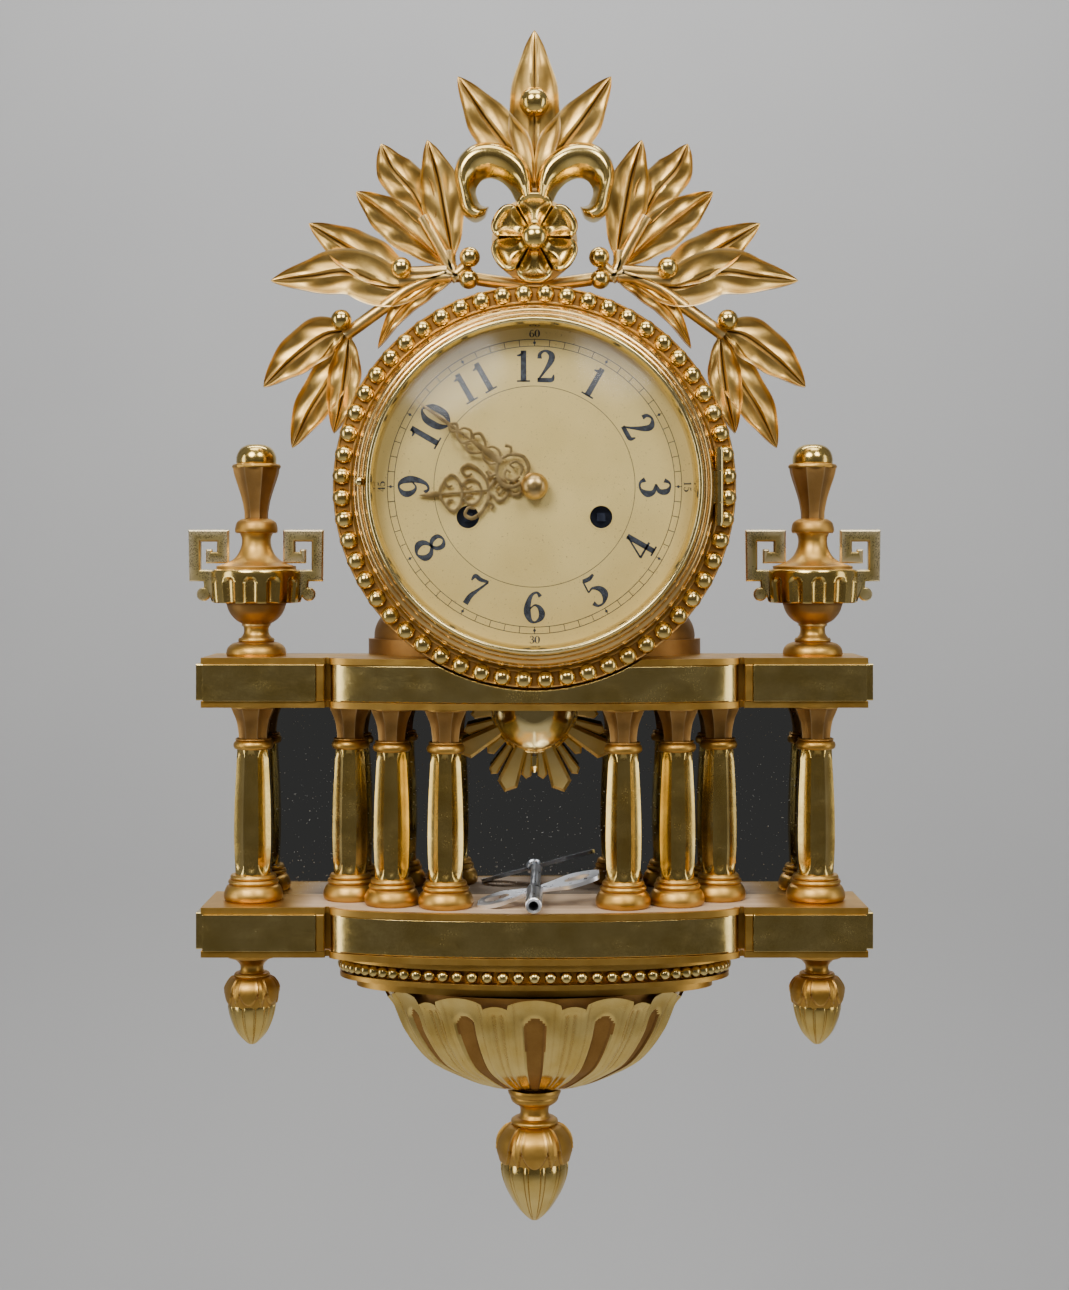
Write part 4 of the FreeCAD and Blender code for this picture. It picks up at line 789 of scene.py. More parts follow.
def meridians(count):
    """Fine paired grooves running down a turned body."""
    def change(angle, r, z):
        off = 2.0 * ((angle * count / (2 * math.pi) + 0.5) % 1.0) - 1.0
        return r - 0.55 * math.exp(-((abs(off) - 0.78) / 0.09) ** 2) * min(1.0, r / 5.0)
    return change


build_bowl()
build_pendants()


# ---------------------------------------------------------------- crest
CREST_BACK = local_box("spray_right")[1][0]
LEAF_FRONT = CREST_BACK + 5.0


def carved_leaf(shape, path, half, groove=2.2, lift=0.0, folds=3.4, curl=1.8, dish=1.7, back=None):
    """Carved leaf along a path of (x, z) points: dished halves, a groove or rib, folds and a raised rim."""
    line = np.array(curve(path, 16))
    count = len(line)
    across = np.linspace(-1.0, 1.0, 25)
    base = LEAF_FRONT + lift
    rows = []
    for i, point in enumerate(line):
        t = i / (count - 1)
        along = line[min(i + 1, count - 1)] - line[max(i - 1, 0)]
        along = along / np.linalg.norm(along)
        side = np.array((-along[1], along[0]))
        ripple = 1.0 + 0.03 * math.sin(2 * math.pi * folds * t)
        width = 1.16 * half * math.sin(math.pi * min(1.0, t) ** 0.86) ** 0.82 * ripple
        width = max(width, 1.7 * (1.0 - t)) if t < 0.5 else width
        full = min(1.0, width / half * 1.4)
        row = []
        for v in across:
            height = base + full * (curl * t * t - dish * (1.0 - (2.0 * abs(v) - 1.0) ** 2))
            height -= full * groove * math.exp(-(v / 0.10) ** 2)
            fold = math.sin(2 * math.pi * (folds * t - 0.7 * abs(v)))
            height += full * 0.42 * fold * smooth(abs(v), 0.12, 0.5)
            height += full * 0.7 * smooth(abs(v), 0.84, 0.95) - (1.0 - full) * 1.2
            place = point + side * v * width
            row.append((place[0], height, place[1]))
        rear = (CREST_BACK if back is None else back) + 0.3 + 0.3 * lift
        for v in (1.0, -1.0):
            place = point + side * v * width * 0.94
            row.append((place[0], rear, place[1]))
        rows.append(row)
    shape.grid(rows, cap_start=True, cap_end=True)


SPRAY = [
    # path, half width, groove (negative is a rib), lift
    ([(52, 130), (60, 147), (71, 160), (76.9, 172.7)], 9.0, 2.2, -0.6),
    ([(41, 116), (45, 138), (48.5, 156), (53.7, 174.3)], 9.2, 2.6, 1.0),
    ([(45, 112), (62, 127), (76, 138), (89.5, 148.5)], 9.0, -1.3, 0.4),
    ([(62, 103), (78, 112), (96, 122), (113.2, 132.7)], 9.6, 2.4, 0.0),
    ([(45.3, 107.5), (70, 100.5), (92, 108), (112, 106), (132.1, 103.8)], 10.4, 2.4, 1.2),
    ([(41, 105.4), (55, 99), (68, 88), (78.5, 70.1)], 4.8, 1.6, 1.4),
    ([(94.8, 79), (106, 76), (122, 64), (135.8, 50.7)], 9.2, 2.4, 0.6),
    ([(94.8, 77), (101, 58), (113, 38), (121.6, 20.2)], 8.4, 2.2, -0.4),
    ([(93, 76), (94.5, 60), (97, 43), (100.6, 27.5)], 7.2, 2.4, 1.0),
]
SPRAY_STEMS = [[(4, 101.5), (24, 104), (45, 107.5)], [(44, 108), (62, 100), (76.9, 89.6), (95, 76.5)],
               [(41, 109), (48, 122), (56, 136)],
               [(38, 104.5), (42, 110), (43, 119)], [(41, 105.5), (36.5, 109), (33.5, 112)],
               [(42, 106), (54, 105), (68, 104)], [(44, 109), (58, 108), (68, 108)]]


def build_spray(side, name):
    shape = Shape()
    for path, half, groove, lift in SPRAY:
        carved_leaf(shape, [(side * x, z) for x, z in path], half, groove, lift)
    for path in SPRAY_STEMS:
        points = [(side * x, CREST_BACK + 3.6, z, 3.3) for x, z in path]
        shape.grid(tube_rows(points, 8, 14), cap_start=True, cap_end=True)
    settle(shape.make(name + "_carving", LEAFGOLD, 40.0), replaces=[name])


build_spray(-1, "spray_left")
build_spray(1, "spray_right")


def build_palmette():
    shape = Shape()
    for side in (-1, 1):
        carved_leaf(shape, [(side * 3, 146), (side * 12, 168), (side * 25, 186), (side * 38.5, 206.3)], 10.4,
                    2.6, 0.4)
    carved_leaf(shape, [(0, 150), (0, 176), (0, 203), (0, 229.3)], 11.2, 2.2, 1.2, curl=1.0)
    settle(shape.make("palmette_carving", LEAFGOLD, 40.0), replaces=["palmette"])


# Ram's-horn scroll: matching points on its outer and inner edges
SCROLL_OUTER = [(0.7, 146.0), (1.6, 154.5), (5.0, 163.2), (13.0, 169.6), (22.0, 172.2), (31.6, 170.4),
                (38.2, 163.8), (40.0, 155.3),
                (38.4, 146.6), (36.2, 137.4), (30.4, 132.6), (25.0, 134.6), (22.9, 139.6)]
SCROLL_INNER = [(8.6, 141.0), (10.2, 144.8), (12.4, 148.8), (16.4, 152.6), (21.6, 154.6), (26.0, 153.6),
                (28.6, 150.4), (29.2, 147.2),
                (28.4, 144.2), (27.2, 141.6), (25.6, 140.6), (24.2, 140.4), (22.9, 140.6)]
# Share of the width from the outer edge, and height over the back of the band
SCROLL_SECTION = [(0.0, 0.0), (0.02, 5.0), (0.10, 9.2), (0.24, 11.6), (0.40, 12.2), (0.56, 11.2),
                  (0.66, 9.6), (0.69, 9.2), (0.94, 3.2),
                  (1.0, 1.6), (1.0, 0.0)]
SCROLL_BACK = 50.5


def build_scrolls():
    shape = Shape()
    outer, inner = np.array(curve(SCROLL_OUTER, 10)), np.array(curve(SCROLL_INNER, 10))
    for side in (-1, 1):
        rows = []
        for a, b in zip(outer, inner):
            width = np.linalg.norm(b - a)
            rise = min(1.0, width / 9.0) ** 0.7
            rows.append([(side * (a[0] + (b[0] - a[0]) * share), SCROLL_BACK + height * rise,
                          a[1] + (b[1] - a[1]) * share)
                         for share, height in SCROLL_SECTION])
        shape.grid(rows, cap_start=True, cap_end=True)
    settle(shape.make("scroll_carving", BURNISHED, 50.0), replaces=["crest_scrolls"])


ROSETTE_Z = 123.5
ROSETTE_R = 22.5


def build_rosette():
    petals, heart, disc = Shape(), Shape(), Shape()
    for index in range(6):
        rows = []
        for i in range(19):
            ratio = i / 18
            row = []
            for k in range(21):
                u = -1.0 + 2.0 * k / 20
                reach = ROSETTE_R * (1.0 - 0.20 * abs(u) ** 3.5)
                radius = 5.0 + (reach - 5.0) * ratio
                bowl_depth = max(abs(u) ** 2.6, abs((ratio - 0.45) / 0.55) ** 2.6)
                rim = 1.0 - smooth(max(abs(u), ratio), 0.90, 1.0)
                depth = 57.0 + 7.0 * bowl_depth * (0.6 + 0.4 * rim) - 1.2 * ratio * ratio
                px, pz = polar(radius, index * 60 + u * 29.0)
                row.append((px, depth, ROSETTE_Z + pz))
            rows.append(row)
        petals.grid(rows, close_columns=False)
    rows = lathe_flat([(21.4, 50.2), (21.4, 53.4), (18.0, 55.2), (0.01, 55.2)], 0, ROSETTE_Z, 24)
    disc.grid(rows, cap_start=True)
    heart.grid(ball(0, 62.2, ROSETTE_Z, 7.2, 16, 32))
    solid = petals.make("rosette_petals", BURNISHED, 40.0)
    thicken = solid.modifiers.new("thickness", "SOLIDIFY")
    thicken.thickness = 0.0012
    thicken.offset = 0.0
    settle(solid, replaces=["rosette"])
    settle(disc.make("rosette_disc", BRONZE, 20.0), replaces=["rosette"])
    settle(heart.make("rosette_heart", BURNISHED), replaces=["rosette"])


BERRIES = [(32.3, 52.5, 115, 5.2), (32.8, 52.5, 104, 5.0), (66.5, 52.5, 109.8, 5.3), (96.4, 52.5, 83.8, 5.2)]


def build_berries():
    shape = Shape()
    for x, depth, z, radius in BERRIES:
        for side in (-1, 1):
            shape.grid(ball(side * x, depth, z, radius, 14, 28))
    shape.grid(ball(0, 54, 192, 7.5, 16, 32))
    settle(shape.make("crest_balls", BURNISHED), replaces=["crest_berries"])


def build_crest_block():
    shape = Shape()
    low, high = local_box("crest_block")[2]
    slab(shape, [(-9.5, low + 4.0), (9.5, low + 4.0), (9.5, high - 14.0), (6.0, high), (-6.0, high),
                 (-9.5, high - 14.0)], 20.0, 50.0, 0.8)
    settle(shape.make("crest_post", BRONZE, 25.0), replaces=["crest_block"])


build_crest_block()
build_palmette()
build_scrolls()
build_rosette()
build_berries()


# ---------------------------------------------------------------- clock face
def build_bezel():
    moulding = joined([(89.5, 66.5), (89.6, 67.6), (88.8, 69.0), (88.2, 69.5)],
                      [(88.2, 70.2), (88.0, 73.0), (86.6, 75.4), (85.2, 76.2)],
                      [(84.9, 76.0), (84.8, 77.4), (84.0, 79.2), (82.9, 79.8)], [(82.6, 79.4), (82.6, 66.5)])
    lip = joined([(82.6, 79.0), (82.5, 81.4), (81.7, 83.2), (80.6, 84.0), (79.6, 83.5)],
                 [(79.4, 83.0), (78.5, 80.6), (78.0, 77.6)],
                 [(78.0, 77.6), (78.0, 66.5)], [(78.0, 66.5), (82.6, 66.5)])
    outer = Shape().grid(lathe_flat(moulding, 0, 0, 256), close_rows=True)
    settle(outer.make("bezel_moulding", ROSE), "door", ["bezel_ring"])
    inner = Shape().grid(lathe_flat(lip, 0, 0, 256), close_rows=True)
    settle(inner.make("bezel_lip", BRASS), "door", ["bezel_ring"])


DIGITS = {
    "0": [("loop", [(0.30, 1.0, .02), (0.52, .78, .07), (0.56, .5, .085), (0.52, .22, .07), (0.30, 0, .02),
                    (0.08, .22, .07), (0.04, .5, .085), (0.08, .78, .07)])],
    "1": [("line", [(0.3, 0.0, .07), (0.3, 1.0, .065)]),
          ("line", [(0.3, .98, .02), (0.2, .86, .03), (0.08, .84, .015)]),
          ("line", [(0.08, .015, .02), (0.52, .015, .02)])],
    "2": [("line", [(0.10, .74, .055), (0.12, .90, .04), (0.30, .99, .028), (0.50, .86, .07),
                    (0.48, .66, .07), (0.26, .32, .035), (0.05, .05, .02)]),
          ("line", [(0.03, .05, .05), (0.3, .045, .055), (0.52, .06, .05), (0.58, .22, .015)])],
    "3": [("line", [(0.09, .80, .055), (0.16, .95, .03), (0.30, .99, .025), (0.47, .86, .07),
                    (0.45, .64, .055), (0.22, .53, .02)]),
          ("line", [(0.22, .53, .02), (0.48, .45, .055), (0.54, .24, .08), (0.38, .03, .03),
                    (0.17, .02, .03), (0.06, .18, .06)])],
    "4": [("line", [(0.42, 0, .065), (0.42, 1.0, .065)]), ("line", [(0.42, 1.0, .02), (0.02, .30, .022)]),
          ("line", [(0.0, .28, .026), (0.6, .28, .026)]),
          ("line", [(0.24, .015, .02), (0.6, .015, .02)])],
    "5": [("line", [(0.11, .95, .05), (0.34, .93, .05), (0.53, .99, .03)]),
          ("line", [(0.11, .96, .02), (0.09, .55, .018)]),
          ("line", [(0.09, .55, .018), (0.28, .61, .03), (0.50, .46, .07), (0.54, .24, .08),
                    (0.36, .03, .03), (0.15, .03, .03), (0.05, .18, .055)])],
    "6": [("line", [(0.50, .84, .05), (0.38, .97, .028), (0.20, .88, .04), (0.08, .60, .07),
                    (0.06, .32, .085), (0.16, .07, .05), (0.32, .01, .025), (0.50, .13, .06),
                    (0.55, .3, .075), (0.46, .49, .05), (0.30, .56, .022), (0.12, .42, .018)])],
    "7": [("line", [(0.04, .76, .02), (0.08, .94, .05), (0.30, .92, .05), (0.57, .98, .03)]),
          ("line", [(0.57, .97, .02), (0.40, .60, .035), (0.27, .30, .06), (0.25, .0, .07)])],
    "8": [("loop", [(0.30, .99, .025), (0.48, .88, .055), (0.46, .67, .05), (0.30, .56, .035),
                    (0.14, .67, .055), (0.12, .88, .05)]),
          ("loop", [(0.30, .54, .03), (0.52, .40, .06), (0.54, .18, .075), (0.30, .01, .025),
                    (0.06, .18, .075), (0.08, .40, .06)])],
}
DIGITS["9"] = [(kind, [(0.6 - x, 1.0 - z, w) for x, z, w in points]) for kind, points in DIGITS["6"]]
INK_DEPTH = 0.06


def write_number(shape, text, radius, degrees, height, upside_down, squeeze=1.0):
    """A numeral centred at a clock angle; its top points outwards unless upside down."""
    pitch = 0.74
    turn = math.radians(degrees + (180.0 if upside_down else 0.0))
    cx, cz = polar(radius, degrees)
    for index, digit in enumerate(text):
        shift = (index - (len(text) - 1) / 2.0) * pitch
        for kind, points in DIGITS[digit]:
            placed = []
            for x, z, w in points:
                u = (x - 0.3 + shift) * height * squeeze
                v = (z - 0.5) * height
                px = cx + u * math.cos(turn) + v * math.sin(turn)
                pz = cz - u * math.sin(turn) + v * math.cos(turn)
                placed.append((px, pz, w * height * 1.36))
            steps = 1 if len(placed) == 2 else 7
            rows = strip_rows(placed, DIAL_FACE, DIAL_FACE + INK_DEPTH, steps, kind == "loop")
            shape.grid([[row[1], row[3]] for row in rows], close_rows=kind == "loop", close_columns=False)


NUMERAL_UPSIDE_DOWN = (4, 5, 6, 7, 8)


WINDING_X, WINDING_Z = 32.75, -15.0


def build_dial():
    marks = Shape()
    for radius, half in ((72.3, 0.16), (69.0, 0.16), (49.4, 0.13)):
        marks.grid(lathe_flat([(radius - half, DIAL_FACE + 0.05), (radius + half, DIAL_FACE + 0.05)], 0, 0,
                              256))
    for minute in range(60):
        a, b = polar(69.0, minute * 6), polar(72.3, minute * 6)
        rows = strip_rows([(a[0], a[1], 0.17), (b[0], b[1], 0.17)], DIAL_FACE, DIAL_FACE + 0.05, 1)
        marks.grid([[row[1], row[3]] for row in rows], close_columns=False)
    for hour in range(12):
        px, pz = polar(70.65, hour * 30)
        turns = [2 * math.pi * k / 20 for k in range(20)]
        marks.grid([[(px + r * math.cos(a), DIAL_FACE + 0.07, pz + r * math.sin(a)) for a in turns]
                    for r in (0.7, 0.01)])
    for label, degrees in (("60", 0), ("15", 90), ("30", 180), ("45", 270)):
        write_number(marks, label, 75.2, degrees, 3.6, degrees == 180)
    for hour in range(1, 13):
        write_number(marks, str(hour), 59.2, hour * 30, 15.2, hour in NUMERAL_UPSIDE_DOWN, 0.96)
    settle(marks.make("dial_markings", INK, 30.0))
    rims = Shape()
    for side in (-1, 1):
        rims.grid(lathe_flat([(5.5, DIAL_FACE), (5.6, DIAL_FACE + 0.2), (6.3, DIAL_FACE + 0.2),
                              (6.4, DIAL_FACE)], side * WINDING_X, WINDING_Z, 64))
    settle(rims.make("winding_hole_rims", DIAL))


build_bezel()
build_dial()


def hand_strip(shape, strokes, degrees, back, front, mirror=True):
    """Pierced hand drawn as narrow strips: (across, along, half width) points, repeated on the other side."""
    angle = math.radians(degrees)
    for stroke in strokes:
        for side in ((-1, 1) if mirror else (1,)):
            placed = [(side * u * math.cos(angle) + v * math.sin(angle),
                       -side * u * math.sin(angle) + v * math.cos(angle), w) for u, v, w in stroke]
            rows = strip_rows(placed, back, front, 6 if len(placed) > 2 else 1, crown=0.12)
            shape.grid(rows, cap_start=True, cap_end=True)


def hand_ring(shape, radius, hole, back, front):
    shape.grid(lathe_flat([(hole, back), (radius, back), (radius, front), (hole, front)], 0, 0, 48),
               close_rows=True)


HOUR_STROKES = [
    [(0.2, 5.5, .7), (3.2, 8.0, .8), (3.0, 11.0, .7), (0.4, 13.0, .7)],
    [(0.2, 12.5, .7), (4.6, 15.0, .8), (5.4, 18.5, .8), (2.6, 21.0, .7), (0.4, 23.0, .7)],
    [(0.3, 15.5, .5), (2.2, 17.4, .5), (0.6, 19.2, .5)],
    [(0.3, 22.5, .7), (5.5, 23.5, .8), (10.5, 27.0, .9), (13.2, 31.5, 1.0), (11.2, 35.0, .8),
     (8.0, 33.2, .7), (8.6, 30.0, .6)],
    [(0.4, 26.0, .6), (4.4, 27.6, .7), (6.2, 31.4, .7), (4.2, 34.6, .6), (1.8, 33.0, .5), (2.6, 30.4, .5)],
    [(5.4, 23.6, .6), (7.6, 20.8, .6), (9.4, 22.4, .9)],
    [(0.3, 35.5, .7), (5.4, 36.6, .8), (8.8, 40.0, .8), (6.6, 43.6, .7), (3.4, 42.6, .6), (3.6, 40.0, .5)],
    [(6.8, 43.4, .6), (3.6, 45.6, .7), (0.4, 46.6, .8)],
    [(0.0, 22.0, .5), (0.0, 46.0, .6)],
    [(0.0, 45.5, .9), (0.0, 50.0, 1.5), (0.0, 56.8, .2)],
]
MINUTE_STROKES = [
    [(0.2, 5.5, .8), (6.0, 8.0, 1.0), (8.4, 13.0, 1.0), (6.0, 18.4, .9), (1.0, 21.5, .8)],
    [(0.3, 8.5, .6), (4.2, 10.6, .8), (4.6, 14.4, .7), (1.6, 16.0, .6), (1.4, 13.2, .5)],
    [(5.8, 18.6, .7), (8.6, 20.6, .7), (7.8, 23.4, .9)],
    [(0.4, 21.0, .6), (3.8, 24.0, .7), (3.6, 28.0, .6), (1.0, 30.5, .6)],
    [(0.3, 30.0, .6), (3.4, 32.4, .7), (5.2, 36.4, .9), (3.0, 39.0, .7), (1.2, 37.4, .5)],
    [(0.4, 38.5, .6), (3.6, 41.0, .7), (2.8, 44.6, .6), (0.4, 46.5, .6)],
    [(0.3, 46.5, .6), (2.2, 49.0, .8), (0.3, 51.5, .6)],
    [(0.0, 20.0, 1.9), (0.0, 31.0, 1.6), (0.0, 38.0, .7)],
    [(0.0, 38.0, .5), (0.0, 52.0, .9), (0.0, 60.0, .9), (0.0, 72.8, .2)],
]


def build_hands():
    for name, body, strokes, degrees in (("hour_hand", "hour_work", HOUR_STROKES, 265.5),
                                         ("minute_hand", "minute_work", MINUTE_STROKES, 306.0)):
        back, front = local_box(name)[1]
        shape = Shape()
        hand_strip(shape, strokes, degrees, back, front)
        hand_ring(shape, 6.6 if name == "hour_hand" else 5.8, 2.0, back, front)
        settle(shape.make(name + "_pierced", HANDS, 30.0), body, [name])


build_hands()


# ---------------------------------------------------------------- ring and shelf mouldings
RING_BEADS = 56
RING_BEAD_CIRCLE_R = 95.0
RING_BEAD_R = 4.75


def build_ring_trim():
    face = local_box("front_ring")[1][1]
    rims, trough = Shape(), Shape()
    for profile in ([(99.2, face - 0.6), (99.2, face + 0.7), (98.7, face + 1.2), (98.1, face + 0.8),
                     (98.0, face)],
                    [(91.6, face), (91.4, face + 0.8), (90.9, face + 1.2), (90.3, face + 0.9),
                     (90.2, face - 0.3)]):
        rims.grid(lathe_flat(profile, 0, 0, 256))
    trough.grid(lathe_flat([(98.1, face + 0.1), (91.5, face + 0.1)], 0, 0, 256))
    settle(rims.make("ring_rims", SATIN, 50.0))
    settle(trough.make("ring_trough", FLUTE))
    beads = Shape()
    for k in range(RING_BEADS):
        x, z = polar(RING_BEAD_CIRCLE_R, (k + 0.5) * 360 / RING_BEADS)
        beads.grid(ball(x, face - 0.4, z, RING_BEAD_R))
    settle(beads.make("ring_bead_row", BURNISHED), replaces=["ring_beads"])


BOW_CENTRE, BOW_RISE, BOW_HALF = 48.0, 22.0, 103.0
PANEL_EDGE_X = 97.0
BLOCK_IN_X = 105.0
SHELF_THICK = 25.0
PANEL_INSET = 3.4


def build_shelf_trim():
    """Burnished ends of the bow, and the gilt stile between the bow and each block panel."""
    returns, stiles = Shape(), Shape()
    for top in (SHELF_TOP, LOWER_TOP):
        low, high = top - SHELF_THICK + PANEL_INSET, top - PANEL_INSET
        for side in (-1, 1):
            turn = math.acos(PANEL_EDGE_X / (BOW_HALF - 0.7)) + 0.01
            rows = []
            for k in range(13):
                a = turn * k / 12
                outer = (side * (BOW_HALF - 0.7) * math.cos(a), BOW_CENTRE - 0.7 + BOW_RISE * math.sin(a))
                inner = (side * (BOW_HALF - 3.2) * math.cos(a), BOW_CENTRE - 3.2 + BOW_RISE * math.sin(a))
                rows.append([(outer[0], outer[1], low), (outer[0], outer[1], high),
                             (inner[0], inner[1], high), (inner[0], inner[1], low)])
            returns.grid(rows, cap_start=True, cap_end=True)
            x0, x1 = side * (BLOCK_IN_X + 0.2), side * (BLOCK_IN_X + 4.3)
            slab(stiles, [(x0, low), (x1, low), (x1, high), (x0, high)], 46.0, 50.8, 0.4)
    settle(returns.make("bow_ends", BURNISHED, 30.0))
    settle(stiles.make("block_stiles", PLAIN_SATIN, 20.0))


build_ring_trim()
build_shelf_trim()

# ---------------------------------------------------------------- sunburst pendulum bob
BOB_Z = -113.0
BOB_R = 22.5
RAY_R = 45.0


def build_bob():
    low, high = local_box("pendulum_bob")[1]
    rays = Shape()
    main = [(180, RAY_R, 5.4)] + [(s * d, RAY_R, 5.4) for d in (20, 60, 100, 140) for s in (-1, 1)]
    small = [(s * d, reach, 2.6) for d, reach in ((7, 36.0), (34, 40.0), (47, 33.0), (73, 38.0), (86, 33.0),
                                                  (113, 38.0), (126, 33.0), (160, 38.0)) for s in (-1, 1)]
    for degrees, reach, half in small + main:
        turned = 180.0 + degrees
        outline = []
        for across, along in ((-0.55 * half, 18.0), (-half, reach - 0.8 * half), (0.0, reach),
                              (half, reach - 0.8 * half), (0.55 * half, 18.0)):
            px, pz = polar(math.hypot(across, along), turned + math.degrees(math.atan2(across, along)))
            outline.append((px, BOB_Z + pz))
        slab(rays, outline, low if half > 4 else low - 0.6, low + (3.0 if half > 4 else 1.6),
             1.5 if half > 4 else 0.9)
    settle(rays.make("bob_rays", RAYS, 5.0), "pendulum", ["pendulum_bob"])
    dome = Shape()
    profile = joined([(BOB_R, low), (BOB_R, low + 1.4), (BOB_R - 0.9, low + 2.2)],
                     [(BOB_R - 0.9, low + 2.2), (BOB_R - 3.0, low + 4.4), (BOB_R - 8.0, low + 7.6),
                      (BOB_R - 15.0, high - 0.5), (0.01, high)])
    dome.grid(lathe_flat(profile, 0, BOB_Z, 96), cap_start=True)
    settle(dome.make("bob_dome", BRASS, 30.0), "pendulum", ["pendulum_bob"])


build_bob()


# ---------------------------------------------------------------- winding key
KEY_FRONT = (-0.5, 72.0, -205.4)
KEY_BACK = (1.0, 10.4, -196.2)


def along_axis(profile, start, end, segments=40):
    """Turned about the line from start to end; the profile holds (radius, distance from start)."""
    origin, target = Vector(start), Vector(end)
    axis = (target - origin).normalized()
    across = axis.cross(Vector((0, 0, 1))).normalized()
    up = across.cross(axis)
    return [[tuple(origin + axis * float(s) + float(r) * (across * math.cos(a) + up * math.sin(a)))
             for a in (2 * math.pi * k / segments for k in range(segments))] for r, s in profile]


def build_key():
    shape = Shape()
    length = (Vector(KEY_BACK) - Vector(KEY_FRONT)).length
    profile = joined([(2.4, 0.4), (3.6, 0.0)], [(3.6, 0.0), (4.1, 0.5), (4.2, 1.2)],
                     [(4.2, 1.2), (4.2, 24.0)], [(4.2, 24.0), (3.4, 25.6), (2.7, 26.4)],
                     [(2.6, 26.4), (2.6, length - 0.6)],
                     [(2.6, length - 0.6), (2.3, length - 0.2), (0.01, length - 0.1)])
    shape.grid(along_axis(profile, KEY_FRONT, KEY_BACK))
    settle(shape.make("key_barrel", NICKEL, 30.0), "winding_key", ["winding_key"])
    # The square hole's walls and floor are near-black iron: painted shade inside the hole.
    hole = Shape()
    socket = [(1.9 * 1.3, 0.35), (1.9 * 1.3, 6.0), (0.01, 6.0)]
    hole.grid(along_axis(socket, KEY_FRONT, KEY_BACK, 4))
    settle(hole.make("key_square_hole_shade", IRON, 30.0), "winding_key", ["winding_key"])
    origin = Vector(KEY_FRONT)
    axis = (Vector(KEY_BACK) - origin).normalized()
    centre = origin + axis * 25.0
    tilt = math.radians(15.0)
    wing_along = Vector((math.cos(tilt), 0.0, math.sin(tilt)))
    wing_along = (wing_along - axis * wing_along.dot(axis)).normalized()
    wing_up = axis.cross(wing_along).normalized()
    wing = Shape()
    for side, reach in ((-1, 29.5), (1, 33.5)):
        outer, inner = [], []
        for k in range(48):
            a = 2 * math.pi * k / 48
            u = 0.5 * (reach + 3.0) + 0.5 * (reach - 3.0) * max(-1.0, min(1.0, 1.12 * math.cos(a)))
            outer.append((side * u, math.sin(a) * (6.0 + 3.4 * smooth(u, 6.0, 20.0))))
            inner.append((side * (reach * 0.66 + 6.6 * math.cos(a)), 3.4 * math.sin(a)))
        rows = []
        for outline, s in ((outer, -1.0), (outer, 1.0), (inner, 1.0), (inner, -1.0)):
            rows.append([tuple(centre + wing_along * u + axis * v + wing_up * s) for u, v in outline])
        wing.grid(rows, close_rows=True)
    settle(wing.make("key_wing", NICKEL, 30.0), "winding_key", ["winding_key"])


build_key()

# ---------------------------------------------------------------- CAD pieces take their finishes
SOFT_EDGES = {"upper_shelf": 0.0007, "lower_shelf": 0.0007, "upper_panels": 0.0005, "lower_panels": 0.0005,
              "plinth": 0.0006,
              "apron": 0.0008, "front_ring": 0.0005}
for name, made in frame["nodes"].items():
    for index, held in enumerate(made.data.materials):
        key = held.name.split(".")[0] if held else ""
        if key in SLOT_MATERIALS:
            made.data.materials[index] = SLOT_MATERIALS[key]
    if name in SOFT_EDGES:
        made.modifiers.new("joined_faces", "WELD").merge_threshold = 0.000002
        soft = made.modifiers.new("soft_edges", "BEVEL")
        soft.width = SOFT_EDGES[name]
        soft.segments = 3
        soft.angle_limit = math.radians(40.0)
    smoothed = made.modifiers.new("smooth_normals", "WEIGHTED_NORMAL")
    smoothed.keep_sharp = True
for name in ("going_arbor", "strike_arbor"):
    frame["nodes"][name].data.materials[0] = BLUED
frame["nodes"]["plinth"].data.materials[0] = PLAIN_BRONZE
frame["nodes"]["lower_shelf"].data.materials[0] = SHELF

# ---------------------------------------------------------------- room, light and camera
CAMERA_DISTANCE = 1.050
CAMERA_HEIGHT = DIAL_Z - 0.036
FLOOR_Z = DIAL_Z - 1.60
BACKDROP_Y = 2.4


def build_room():
    section = [(-4.0, 0.0), (BACKDROP_Y - 1.0, 0.0)]
    section += [(BACKDROP_Y - 1.0 + math.sin(math.radians(a)),
                 1.0 - math.cos(math.radians(a))) for a in range(6, 91, 6)]
    section += [(BACKDROP_Y, 4.4)]
    mesh = bpy.data.meshes.new("floor_and_backdrop")
    verts, faces = [], []
    for y, z in section:
        verts += [(-4.0, y, FLOOR_Z + z), (4.0, y, FLOOR_Z + z)]
    for i in range(len(section) - 1):
        faces.append((2 * i, 2 * i + 1, 2 * i + 3, 2 * i + 2))
    mesh.from_pydata(verts, [], faces)
    mesh.shade_smooth()
    material, tree, shader = new_material("plain_backdrop", Roughness=0.9)
    colour = mix_colour(tree, remap(tree, noise(tree, 2.0), 0.3, 0.7), (0.50, 0.50, 0.50, 1.0),
                        (0.48, 0.48, 0.485, 1.0))
    tree.links.new(colour, shader.inputs["Base Color"])
    mesh.materials.append(material)
    room = bpy.data.objects.new("floor_and_backdrop", mesh)
    bpy.context.scene.collection.objects.link(room)


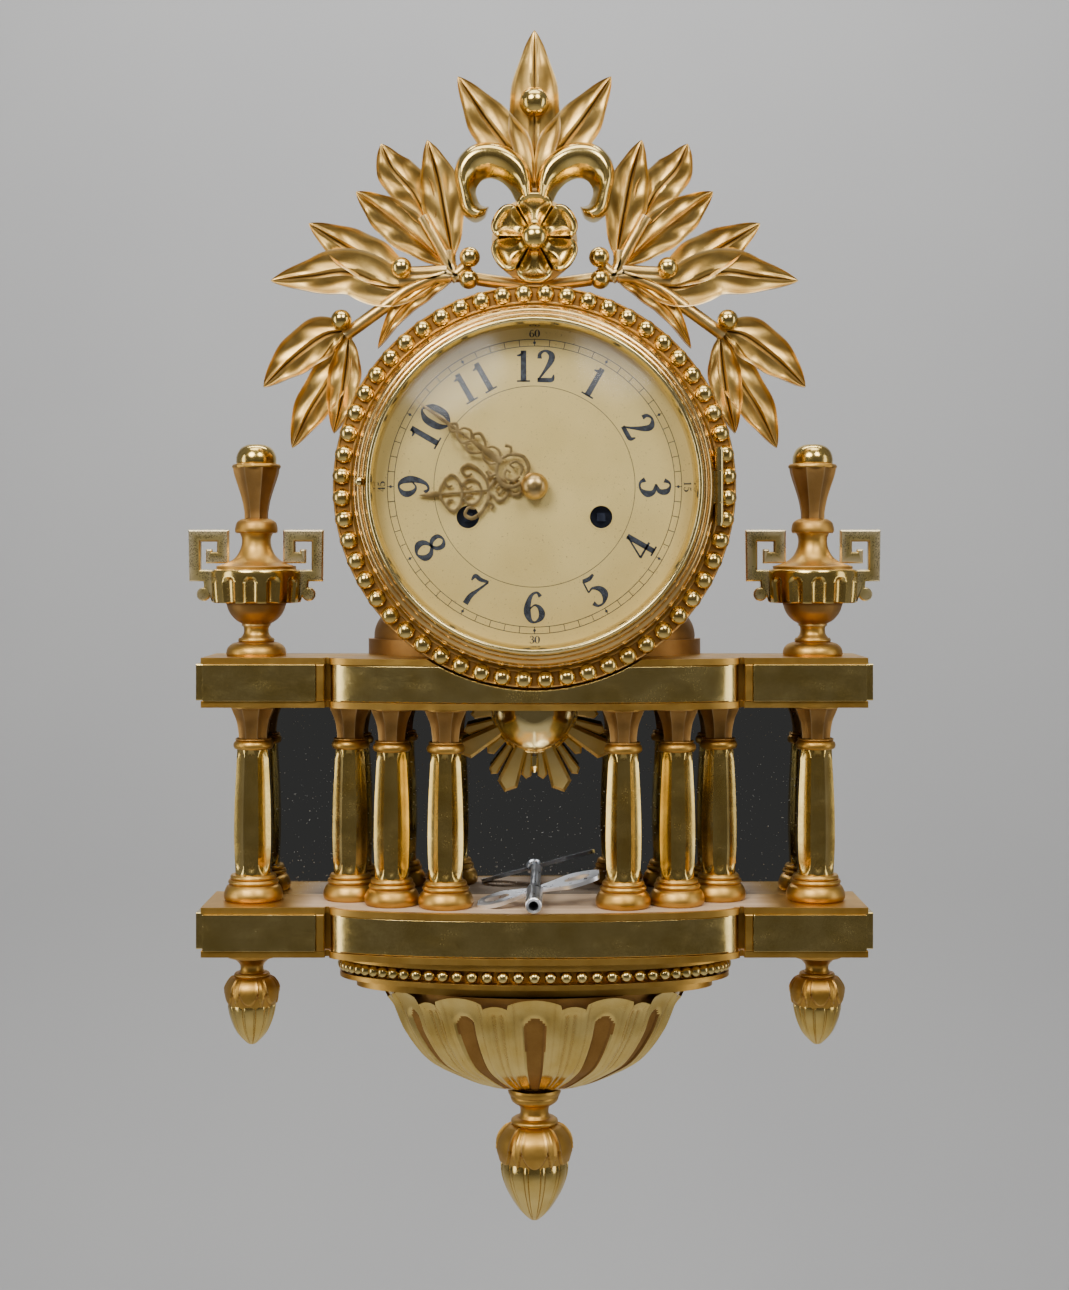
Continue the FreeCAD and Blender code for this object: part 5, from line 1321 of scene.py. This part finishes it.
def build_world():
    """Pale room behind, dim room in front of the clock, so that gold and mirror show something dark."""
    space = bpy.data.worlds.new("studio")
    space.use_nodes = True
    bpy.context.scene.world = space
    tree = space.node_tree
    background = tree.nodes["Background"]
    coords = node(tree, "ShaderNodeTexCoord")
    split = node(tree, "ShaderNodeSeparateXYZ")
    tree.links.new(coords.outputs["Generated"], split.inputs["Vector"])
    behind = remap(tree, split.outputs["Y"], -0.35, 0.15)
    above = remap(tree, split.outputs["Z"], 0.25, 0.9)
    colour = mix_colour(tree, behind, (0.115, 0.11, 0.10, 1.0), (0.22, 0.22, 0.225, 1.0))
    colour = mix_colour(tree, above, colour, (0.24, 0.24, 0.24, 1.0))
    tree.links.new(colour, background.inputs["Color"])
    background.inputs["Strength"].default_value = 0.9


def soft_light(name, place, aim, width, height, power, tint=(1.0, 1.0, 1.0)):
    data = bpy.data.lights.new(name, "AREA")
    data.shape = "ELLIPSE"
    data.size, data.size_y = width, height
    data.energy = power
    data.color = tint
    lamp = bpy.data.objects.new(name, data)
    bpy.context.scene.collection.objects.link(lamp)
    lamp.location = place
    lamp.rotation_euler = (Vector(aim) - Vector(place)).to_track_quat("-Z", "Y").to_euler()
    return lamp


build_room()
build_world()
TARGET = (0.0, -0.03, DIAL_Z - 0.07)
soft_light("left_window", (-0.75, -1.5, 1.05), TARGET, 1.0, 0.9, 36.0, (1.0, 0.98, 0.95))
soft_light("right_fill", (0.75, -1.45, 1.15), TARGET, 0.8, 0.8, 20.0, (1.0, 0.99, 0.97))
soft_light("overhead", (0.0, -0.4, 1.6), TARGET, 1.8, 0.8, 20.0)
soft_light("left_side", (-1.7, -0.6, -0.1), TARGET, 0.6, 1.8, 9.0)
soft_light("right_side", (1.7, -0.6, -0.1), TARGET, 0.6, 1.8, 7.0)
soft_light("backdrop_wash", (0.0, 0.9, 2.2), (0.0, BACKDROP_Y, -0.2), 2.8, 0.6, 60.0)

camera_data = bpy.data.cameras.new("camera")
camera_data.sensor_width = 36.0
camera_data.sensor_fit = "AUTO"
camera_data.lens = 55.8
camera_data.shift_x = 0.0
camera_data.shift_y = -0.066
camera = bpy.data.objects.new("camera", camera_data)
bpy.context.scene.collection.objects.link(camera)
camera.location = (0.0, WALL_Y - CAMERA_DISTANCE, CAMERA_HEIGHT)
camera.rotation_euler = (math.radians(90.0), 0.0, 0.0)
bpy.context.scene.camera = camera
